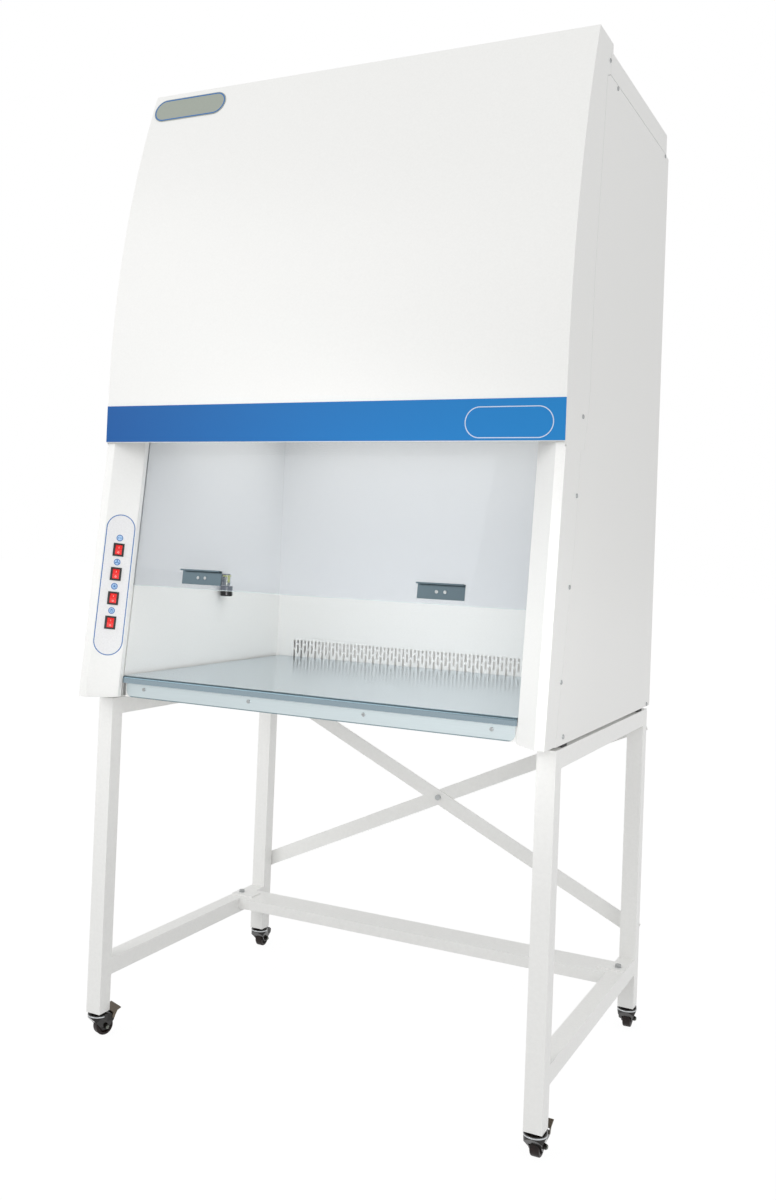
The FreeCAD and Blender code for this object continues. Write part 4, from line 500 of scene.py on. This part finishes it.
class CABINET_OT_finishes(bpy.types.Operator):
    """Make the finishes and give each frame node its own"""
    bl_idname = "cabinet.finishes"
    bl_label = "Finishes"

    def execute(self, context):
        colours = context.scene.cabinet_colours
        coat = tuple(colours.coat)
        FINISHES.update({
            "coat": powder_coat("polyester_powder_coat", coat),
            "inner": powder_coat("chamber_powder_coat", tinted(coat, 0.99)),
            "tube": coated_tube("stand_powder_coat", coat),
            # The worktop's nose carries a painted dark reflection along its bend
            "bench": brushed_stainless(
                "brushed_stainless_bench", "#cfdbe2", roughness=0.2,
                painted_bend_reflection=("Y", BENCH_FRONT, BENCH_FRONT + BENCH_NOSE,
                      ((0.0, "#b9c3c7"), (0.04, "#7d8b90"), (0.5, "#76858b"), (1.0, "#ffffff")))),
            "handle": brushed_stainless("brushed_stainless_handle", "#5a686f", grain=(1, 1, 0.05)),
            # The strip's lower bend carries a painted dark reflection
            "strip": brushed_stainless(
                "satin_stainless_strip", "#ced9dc", roughness=0.42,
                painted_bend_reflection=("Z", STRIP_LOW.z, STRIP_LOW.z + STRIP_BEND,
                      ((0.0, "#93a1a6"), (0.35, "#9aa8ad"), (0.6, "#ffffff")))),
            "zinc_sheet": galvanised_sheet("galvanised_steel_sheet"),
            "zinc": plated_steel("bright_zinc_screw", "#b4b7b8", 0.3),
            "black_nickel": black_nickel("black_nickel_pressing"),
            "pedal": plated_steel("brown_passivated_steel", "#6f665b", 0.35),
            "tap": plated_steel("dull_chromed_brass", "#70736c", 0.25),
            # Bright nickel for the half rings that paint the highlight on the hoods' rims
            "bright": plated_steel("painted_highlight_nickel", "#c9ccce", 0.16),
            "glass": tempered_glass("tempered_glass"),
            "edge": polished_edge("polished_glass_edge"),
            "band": printed_band(
                "printed_blue_vinyl", tuple(colours.band_left), tuple(colours.band_right)),
            "blue_ink": screen_print("blue_screen_ink", "#2f6fb4"),
            "mark_ink": screen_print("pale_moulded_mark", "#f0b1a9"),
            "film": screen_print("polyester_label_film", "#ededee"),
            "pale_ink": screen_print("pale_blue_screen_ink", "#a9cbee"),
            "line_ink": screen_print("pale_grey_screen_ink", "#c9d6e6"),
            "badge": screen_print("olive_grey_badge_film", "#a3aaa0"),
            "black": moulded_plastic("black_nylon", "#17181a"),
            "black_gloss": moulded_plastic("black_phenolic", "#121214", 0.22),
            "red": lit_plastic("lit_red_polycarbonate", tuple(colours.rocker)),
            "yellow": moulded_plastic("yellow_green_nylon", "#b9bf2c"),
            "tread": wheel_tread("moulded_caster_tread"),
            "media": pleated_media("pleated_glass_fibre"),
            "anodised": plated_steel("anodised_aluminium", "#c9cbcc", 0.45),
            "lamp": coated_lamp("opal_lamp_glass"),
            "motor": powder_coat("grey_motor_enamel", linear("#3b4046")),
            "pad": moulded_plastic("dark_rubber_pad", "#3a3b3c", 0.7),
        })
        by_slot = {
            "white_powder_coat": "coat", "white_enamel": "inner", "stand_white": "tube",
            "blue_band": "band", "brushed_stainless": "bench", "galvanised": "zinc_sheet",
            "zinc_bolts": "zinc", "clear_glass": "glass", "black_plastic": "black",
            "caster_steel": "black_nickel", "caster_tread": "tread", "pale_label": "film",
            "filter_media": "media", "filter_frame": "anodised", "lamp_glass": "lamp",
            "motor_grey": "motor", "badge_grey": "badge", "tap_chrome": "tap", "grey_pad": "pad",
        }
        own = {"sash_handles": "handle", "tap_knob": "black_gloss", "caster_sockets": "tube",
               "front_strip": "strip", "sash_guides": "inner",
               "brake_pedal_front_left": "pedal", "brake_pedal_front_right": "pedal"}
        own.update({f"rocker_{number}": "red" for number in range(1, SWITCHES + 1)})
        for entry in frame["record"]["subparts"]:
            name = entry["node"]
            finish = FINISHES[own.get(name, by_slot[entry["material_slot"]])]
            for place in frame["nodes"][name].material_slots:
                place.material = finish
        return {"FINISHED"}


class CABINET_OT_panel_screws(bpy.types.Operator):
    """Put the pan-head screws in the side panels, the front strip and the rear panel"""
    bl_idname = "cabinet.panel_screws"
    bl_label = "Panel screws"

    def execute(self, context):
        radius = context.scene.cabinet_sizes.screw_head / 2
        spots = ((-163, 2013), (-100, 1981), (342, 1982), (-264, 1319), (-288, 1173),
                 (-313, 1008), (-343, 841), (-319, 742), (347, 733))
        sides = []
        for y, z in spots:
            sides.append((HALF, y * MM + STAND_Y, z * MM, "+x"))
            sides.append((-HALF, y * MM + STAND_Y, z * MM, "-x"))
        screws("side_screws", sides, radius=radius)
        face = STRIP_LOW.y
        strip = [(x * MM, face, 0.748, "-y") for x in (-382, -127, 127, 382)]
        screws("strip_screws", strip, radius=radius * 0.9)
        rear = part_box("rear_panel")[1].y
        back = [(x * MM, rear, z * MM, "+y") for x in (-486, 486) for z in (742, 1050, 1360, 1665, 1972)]
        back += [(x * MM, rear, z * MM, "+y") for x in (-240, 0, 240) for z in (742, 1972)]
        screws("rear_screws", back, radius=radius)
        return {"FINISHED"}


class CABINET_OT_sash_trim(bpy.types.Operator):
    """Add the handles' screws and the sash's polished lower edge"""
    bl_idname = "cabinet.sash_trim"
    bl_label = "Sash trim"

    def execute(self, context):
        base = sash_frame()
        spots = []
        for x in (-HANDLE_X, HANDLE_X):
            for side in (-HANDLE_SCREW, HANDLE_SCREW):
                spots.append(((x + side) * MM, -1.5 * MM, 23 * MM, "-y"))
        screws("handle_screws", spots, body="sash", radius=3.4 * MM, height=1.6 * MM, base=base)
        edge = bar(GLASS_WIDTH, GLASS_THICK, 0.8 * MM)
        place = base @ Matrix.Translation((0, 2.5 * MM, -0.1 * MM))
        piece("sash_edge", edge, place, FINISHES["edge"], "sash")
        return {"FINISHED"}


class CABINET_OT_control_print(bpy.types.Operator):
    """Print the blue outline and the round signs on the control label"""
    bl_idname = "cabinet.control_print"
    bl_label = "Control label print"

    def execute(self, context):
        sizes = context.scene.cabinet_sizes
        base = splay_frame()
        ring = stadium(LABEL_LENGTH, LABEL_WIDTH, sizes.print_line, INK)
        place = base @ Matrix.Translation((0, LABEL_MIDDLE, LABEL_SKIN))
        piece("label_outline", ring, place, FINISHES["blue_ink"], "cabinet")
        for number in range(SWITCHES):
            along = FIRST_SWITCH + SWITCH_PITCH * number + SIGN_RISE
            shapes = [(stadium(sizes.icon, sizes.icon, sizes.icon * 0.12, INK, 32), Matrix())]
            shapes += self.sign(number, sizes.icon)
            place = base @ Matrix.Translation((0, along, LABEL_SKIN))
            disc = stadium(sizes.icon * 0.95, sizes.icon * 0.95, 0, 0.06 * MM, 32)
            piece(f"switch_disc_{number + 1}", disc, place, FINISHES["pale_ink"], "cabinet")
            piece(f"switch_sign_{number + 1}", merged(shapes), place, FINISHES["blue_ink"],
                  "cabinet")
        return {"FINISHED"}

    def sign(self, number, size):
        """A plain picture for each switch: power, lamp, fan and socket."""
        line = size * 0.1
        if number == 0:
            stroke = stadium(size * 0.3, line, 0, INK, 16)
            ring = stadium(size * 0.5, size * 0.5, line * 0.8, INK, 24)
            return [(stroke, Matrix.Translation((0, size * 0.12, 0))),
                    (ring, Matrix.Translation((0, -size * 0.03, 0)))]
        if number == 1:
            rays = []
            for step in range(8):
                turn = Matrix.Rotation(step * math.pi / 4, 4, "Z")
                rays.append((stadium(size * 0.14, line * 0.7, 0, INK, 12),
                             turn @ Matrix.Translation((0, size * 0.29, 0))))
            return rays + [(stadium(size * 0.32, size * 0.32, 0, INK, 24), Matrix())]
        if number == 2:
            blades = []
            for step in range(3):
                turn = Matrix.Rotation(step * math.tau / 3, 4, "Z")
                blades.append((stadium(size * 0.32, size * 0.17, 0, INK, 16),
                               turn @ Matrix.Translation((0, size * 0.19, 0))))
            return blades
        return [(stadium(size * 0.16, size * 0.16, 0, INK, 16), Matrix.Translation((x * size, 0, 0)))
                for x in (-0.17, 0.17)]


class CABINET_OT_rocker_marks(bpy.types.Operator):
    """Mark each rocker's ends with the usual bar and ring"""
    bl_idname = "cabinet.rocker_marks"
    bl_label = "Rocker marks"

    def execute(self, context):
        base = splay_frame()
        climb = ROCKER_END - ROCKER_MIDDLE
        slope = math.atan2(climb, ROCKER_EDGE)
        height = ROCKER_REACH * (ROCKER_MIDDLE + climb * 0.5 / ROCKER_EDGE) + 0.01 * MM
        for number in range(SWITCHES):
            along = FIRST_SWITCH + SWITCH_PITCH * number
            pivot = base @ Matrix.Translation((0, along, LABEL_SKIN)) @ Matrix.Rotation(ROCKER_REST, 4, "X")
            shapes = []
            for side in (1, -1):
                if side == 1:
                    shape = stadium(4 * MM, 1 * MM, 0, 0.1 * MM, 16)
                else:
                    shape = stadium(4 * MM, 4 * MM, 0.9 * MM, 0.1 * MM, 24)
                middle = (0, side * ROCKER_REACH * 0.5, height)
                tilt = Matrix.Rotation(side * slope, 4, "X")
                shapes.append((shape, Matrix.Translation(middle) @ tilt))
            piece(f"rocker_marks_{number + 1}", merged(shapes), pivot, FINISHES["mark_ink"],
                  f"rocker_{number + 1}")
        return {"FINISHED"}


class CABINET_OT_badges(bpy.types.Operator):
    """Edge the bare badge plate in blue and outline the bare field on the band"""
    bl_idname = "cabinet.badges"
    bl_label = "Bare badges"

    def execute(self, context):
        sizes = context.scene.cabinet_sizes
        low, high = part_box("badge_plate")
        width = high.z - low.z
        length = high.x - low.x
        ring = stadium(length - 3 * MM, width - 3 * MM, sizes.badge_line, 0.25 * MM, 96)
        lengthways = FACING["-y"] @ Matrix.Rotation(math.pi / 2, 4, "Z")
        flat = Matrix.Translation(((low.x + high.x) / 2, 0, (low.z + high.z) / 2))
        bmesh.ops.transform(ring, matrix=flat @ lengthways, verts=ring.verts)
        plate = 1.2 * MM
        radius = COVER_RADIUS + plate
        for corner in ring.verts:
            rise = corner.co.z - COVER_MIDDLE
            skin = COVER_RADIUS + COVER_FRONT + STAND_Y - math.sqrt(radius ** 2 - rise ** 2)
            corner.co.y = skin + corner.co.y
        piece("badge_edge", ring, Matrix(), FINISHES["blue_ink"], "cabinet")
        oval = stadium(0.167, 0.058, 1.8 * MM, 0.15 * MM, 64)
        place = Matrix.Translation((0.3955, BAND_LOW.y, 1.299)) @ lengthways
        piece("band_outline", oval, place, FINISHES["line_ink"], "cabinet")
        return {"FINISHED"}


class CABINET_OT_jamb_heads(bpy.types.Operator):
    """Carry each jamb's front faces on up behind the cover's lower lip"""
    bl_idname = "cabinet.jamb_heads"
    bl_label = "Jamb heads"

    def execute(self, context):
        miter = SHEET * (math.sqrt(2) - 1)
        low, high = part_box("right_jamb")
        base = high.z
        climb = 0.0195
        front = low.y + (base - FLOOR_TOP) * LEAN
        strip = HALF - 0.018
        window = low.x
        side = HALF - SHEET - 0.3 * MM
        bend = front + 0.047
        end = bend + 0.011
        outline = ((side, front), (strip, front), (window, bend), (window, end), (window + SHEET, end),
                   (window + SHEET, bend + miter), (strip + miter, front + SHEET), (side, front + SHEET))
        for name, way in (("right", 1), ("left", -1)):
            mesh = bmesh.new()
            face = mesh.faces.new([mesh.verts.new((x * way, y, base)) for x, y in outline])
            grown = bmesh.ops.extrude_face_region(mesh, geom=[face], use_keep_orig=True)["geom"]
            lifted = [item for item in grown if isinstance(item, bmesh.types.BMVert)]
            bmesh.ops.translate(mesh, vec=(0, climb * LEAN, climb), verts=lifted)
            piece(f"{name}_jamb_head", mesh, Matrix(), FINISHES["coat"],
                  "cabinet")
        return {"FINISHED"}


class CABINET_OT_caster_trim(bpy.types.Operator):
    """Add the bright half rings that paint the highlight on each hood's rim, the axle nuts and the pedals'
    side arms
    """
    bl_idname = "cabinet.caster_trim"
    bl_label = "Caster trim"

    def execute(self, context):
        for name, across, along, turn, braked in CASTERS:
            place = Matrix.Translation((across * LEG_X, along * LEG_Y + STAND_Y, 0))
            place = place @ Matrix.Rotation(math.radians(turn), 4, "Z")
            # Painted highlight: a bright half ring round the front of the hood's upright rim
            ring = self.ring()
            piece(f"painted_rim_highlight_{name}", ring, place, FINISHES["bright"],
                  f"swivel_{name}", smooth=True)
            nuts = []
            for way in (1, -1):
                spot = Matrix.Translation((way * 16.8 * MM, TRAIL, AXLE_HEIGHT))
                nuts.append((self.nut(), spot @ Matrix.Rotation(way * math.pi / 2, 4, "Y")))
            piece(f"axle_nuts_{name}", merged(nuts), place, FINISHES["tap"],
                  f"swivel_{name}")
            if braked:
                arms = [(self.arm(), Matrix.Translation((x * MM, 0, 0))) for x in (-19, 17.6)]
                piece(f"pedal_arms_{name}", merged(arms), place, FINISHES["pedal"],
                      f"pedal_{name}")
        return {"FINISHED"}

    def ring(self):
        """A bright half-round band on the front of the hood's upright rim: a painted highlight where the
        rim catches the light.
        """
        mesh = bmesh.new()
        bmesh.ops.create_circle(mesh, segments=10, radius=1.5 * MM)
        bmesh.ops.rotate(mesh, matrix=Matrix.Rotation(math.pi / 2, 3, "Y"), verts=mesh.verts)
        bmesh.ops.rotate(mesh, matrix=Matrix.Rotation(math.pi / 2, 3, "Z"), verts=mesh.verts)
        bmesh.ops.scale(mesh, vec=(0.45, 1, 1), verts=mesh.verts)
        bmesh.ops.translate(mesh, vec=(21 * MM, 0, 44.6 * MM), verts=mesh.verts)
        bmesh.ops.rotate(mesh, matrix=Matrix.Rotation(math.radians(12), 3, "Z"), verts=mesh.verts)
        ends = mesh.edges[:]
        spun = bmesh.ops.spin(mesh, geom=mesh.verts[:] + ends, cent=(0, 0, 0), axis=(0, 0, -1),
                              angle=math.radians(204), steps=36)["geom_last"]
        last = [item for item in spun if isinstance(item, bmesh.types.BMEdge)]
        bmesh.ops.holes_fill(mesh, edges=ends + last)
        return mesh

    def nut(self):
        """A six-sided nut with a rounded crown, along +Z."""
        mesh = bmesh.new()
        radius = 4.2 * MM
        thick = 1.8 * MM
        bmesh.ops.create_cone(mesh, cap_ends=True, segments=6, radius1=radius, radius2=radius, depth=thick)
        bmesh.ops.translate(mesh, vec=(0, 0, thick / 2), verts=mesh.verts)
        top = max(mesh.faces, key=lambda face: face.calc_center_median().z)
        bmesh.ops.inset_region(mesh, faces=[top], thickness=1.2 * MM, use_boundary=True, depth=1.1 * MM)
        return mesh

    def arm(self):
        """A flat arm outside the hood's cheek, from the pedal's pin up to its foot plate."""
        mesh = bmesh.new()
        corners = ((25.4, 37.4), (28, 36), (30.6, 37.4), (32, 42), (38, 52.4), (27.4, 48.2), (25, 42))
        face = mesh.faces.new([mesh.verts.new((0, y * MM, z * MM)) for y, z in corners])
        grown = bmesh.ops.extrude_face_region(mesh, geom=[face], use_keep_orig=True)["geom"]
        moved = [item for item in grown if isinstance(item, bmesh.types.BMVert)]
        bmesh.ops.translate(mesh, vec=(1.2 * MM, 0, 0), verts=moved)
        return mesh


class CABINET_OT_tap_ring(bpy.types.Operator):
    """Put the yellow-green gas marking on the service tap: a ring and a tab"""
    bl_idname = "cabinet.tap_ring"
    bl_label = "Tap ring"

    def execute(self, context):
        mesh = bmesh.new()
        bmesh.ops.create_circle(mesh, cap_ends=False, segments=12, radius=1.6 * MM)
        bmesh.ops.rotate(mesh, matrix=Matrix.Rotation(math.pi / 2, 3, "X"), verts=mesh.verts)
        bmesh.ops.translate(mesh, vec=(8.6 * MM, 0, 0), verts=mesh.verts)
        bmesh.ops.spin(mesh, geom=mesh.verts[:] + mesh.edges[:], cent=(0, 0, 0), axis=(0, 0, 1),
                       angle=math.tau, steps=28, use_merge=True)
        place = Matrix.Translation((-0.425, STAND_Y + 0.015, 0.981))
        piece("tap_index_ring", mesh, place, FINISHES["yellow"], "cabinet", smooth=True)
        tab = bar(3.4 * MM, 5 * MM, 14 * MM)
        spot = Matrix.Translation((-0.4172, STAND_Y + 0.0105, 0.973))
        piece("tap_index_tab", tab, spot, FINISHES["yellow"], "cabinet")
        return {"FINISHED"}


class CABINET_OT_studio(bpy.types.Operator):
    """Set the floor, the soft lights, the backdrop and the camera"""
    bl_idname = "cabinet.studio"
    bl_label = "Studio"

    def execute(self, context):
        self.floor()
        self.world(context.scene)
        self.light("key_softbox", (-2.2, -3.6, 2.9), (0, 0, 1.1), (2.6, 2.6), 49)
        self.light("fill_softbox", (3.4, -2.2, 2.7), (0.2, 0, 1.1), (2.4, 2.4), 19.5)
        self.light("bench_fill", (0.5, -1.25, 0.9), (-0.18, 0.2, 0.93), (0.7, 0.3), 0.95, 60)
        self.light("chamber_lamps", (0, 0.02, 1.37), (0, 0.02, 0.8), (0.76, 0.44), 1.55)
        self.light("duct_glow", (0, 0.334, 0.79), (0, 0.38, 0.79), (0.8, 0.06), 0.07)
        self.camera(context.scene)
        context.scene.view_settings.view_transform = "Standard"
        return {"FINISHED"}

    def floor(self):
        mesh = bmesh.new()
        bmesh.ops.create_grid(mesh, x_segments=2, y_segments=2, size=30)
        data = bpy.data.meshes.new("studio_floor")
        mesh.to_mesh(data)
        mesh.free()
        material, tree, shader = surface("white_studio_floor", Base_Color=linear("#dadada"), Roughness=0.85)
        rays = node(tree, "ShaderNodeLightPath")
        shown = node(tree, "ShaderNodeMath",
                     {0: rays.outputs["Is Camera Ray"], 1: rays.outputs["Is Glossy Ray"]},
                     operation="MAXIMUM")
        seen = node(tree, "ShaderNodeMath", {0: shown.outputs[0], 1: rays.outputs["Is Transmission Ray"]},
                    operation="MAXIMUM")
        share = node(tree, "ShaderNodeMath", {0: seen.outputs[0], 1: 0.9}, operation="MULTIPLY")
        glow = node(tree, "ShaderNodeEmission", {"Color": (1, 1, 1, 1), "Strength": 1.06})
        blend = node(tree, "ShaderNodeMixShader",
                     {0: share.outputs[0], 1: shader.outputs[0], 2: glow.outputs[0]})
        tree.links.new(blend.outputs[0], tree.nodes["Material Output"].inputs["Surface"])
        data.materials.append(material)
        floor = bpy.data.objects.new("studio_floor", data)
        bpy.context.scene.collection.objects.link(floor)

    def world(self, scene):
        world = bpy.data.worlds.new("studio")
        world.use_nodes = True
        tree = world.node_tree
        back = tree.nodes["Background"]
        rays = node(tree, "ShaderNodeLightPath")
        shown = node(tree, "ShaderNodeMath",
                     {0: rays.outputs["Is Camera Ray"], 1: rays.outputs["Is Transmission Ray"]},
                     operation="MAXIMUM")
        strength = node(tree, "ShaderNodeMapRange",
                        {"Value": shown.outputs[0], "To Min": 0.75, "To Max": 1.0})
        back.inputs["Color"].default_value = (1, 1, 1, 1)
        tree.links.new(strength.outputs["Result"], back.inputs["Strength"])
        scene.world = world

    def light(self, name, place, aim, size, power, spread=180):
        data = bpy.data.lights.new(name, "AREA")
        data.spread = math.radians(spread)
        data.shape = "RECTANGLE"
        data.size = size[0]
        data.size_y = size[1]
        data.energy = power
        lamp = bpy.data.objects.new(name, data)
        way = Vector(aim) - Vector(place)
        lamp.matrix_world = Matrix.Translation(place) @ way.to_track_quat("-Z", "Y").to_matrix().to_4x4()
        bpy.context.scene.collection.objects.link(lamp)

    def camera(self, scene):
        """The photograph's own viewpoint, worked out from the cabinet's straight edges."""
        yaw = math.radians(27.717)
        pitch = math.radians(0.928)
        roll = math.radians(2.292)
        ahead = Vector((-math.sin(yaw) * math.cos(pitch), math.cos(yaw) * math.cos(pitch), math.sin(pitch)))
        level = Vector((math.cos(yaw), math.sin(yaw), 0))
        upright = level.cross(ahead)
        right = level * math.cos(roll) + upright * math.sin(roll)
        up = upright * math.cos(roll) - level * math.sin(roll)
        turn = Matrix((right, up, -ahead)).transposed().to_4x4()
        data = bpy.data.cameras.new("photo_camera")
        data.sensor_fit = "VERTICAL"
        data.sensor_height = 36
        data.lens = 36 * 1199.92 / 1200
        data.shift_x = 0.0567
        data.shift_y = -0.0649
        camera = bpy.data.objects.new("photo_camera", data)
        camera.matrix_world = Matrix.Translation((1.10007, STAND_Y - 2.42251, 1.07184)) @ turn
        scene.collection.objects.link(camera)
        scene.camera = camera


OPERATORS = (
    CABINET_OT_finishes,
    CABINET_OT_panel_screws,
    CABINET_OT_sash_trim,
    CABINET_OT_control_print,
    CABINET_OT_rocker_marks,
    CABINET_OT_badges,
    CABINET_OT_jamb_heads,
    CABINET_OT_caster_trim,
    CABINET_OT_tap_ring,
    CABINET_OT_studio,
)


class CABINET_PT_panel(bpy.types.Panel):
    bl_idname = "CABINET_PT_panel"
    bl_label = "Laminar flow cabinet"
    bl_space_type = "VIEW_3D"
    bl_region_type = "UI"
    bl_category = "Cabinet"

    def draw(self, context):
        for group in (context.scene.cabinet_sizes, context.scene.cabinet_colours):
            for field in group.__annotations__:
                self.layout.prop(group, field)
        for operator in OPERATORS:
            self.layout.operator(operator.bl_idname)


CLASSES = (CabinetSizes, CabinetColours) + OPERATORS + (CABINET_PT_panel,)


def register():
    for item in CLASSES:
        bpy.utils.register_class(item)
    bpy.types.Scene.cabinet_sizes = bpy.props.PointerProperty(type=CabinetSizes)
    bpy.types.Scene.cabinet_colours = bpy.props.PointerProperty(type=CabinetColours)


def unregister():
    del bpy.types.Scene.cabinet_colours
    del bpy.types.Scene.cabinet_sizes
    for item in reversed(CLASSES):
        bpy.utils.unregister_class(item)


def main():
    register()
    for operator in OPERATORS:
        area, name = operator.bl_idname.split(".")
        if getattr(getattr(bpy.ops, area), name)() != {"FINISHED"}:
            raise RuntimeError(f"{operator.bl_label} did not finish")


if __name__ == "__main__":
    main()
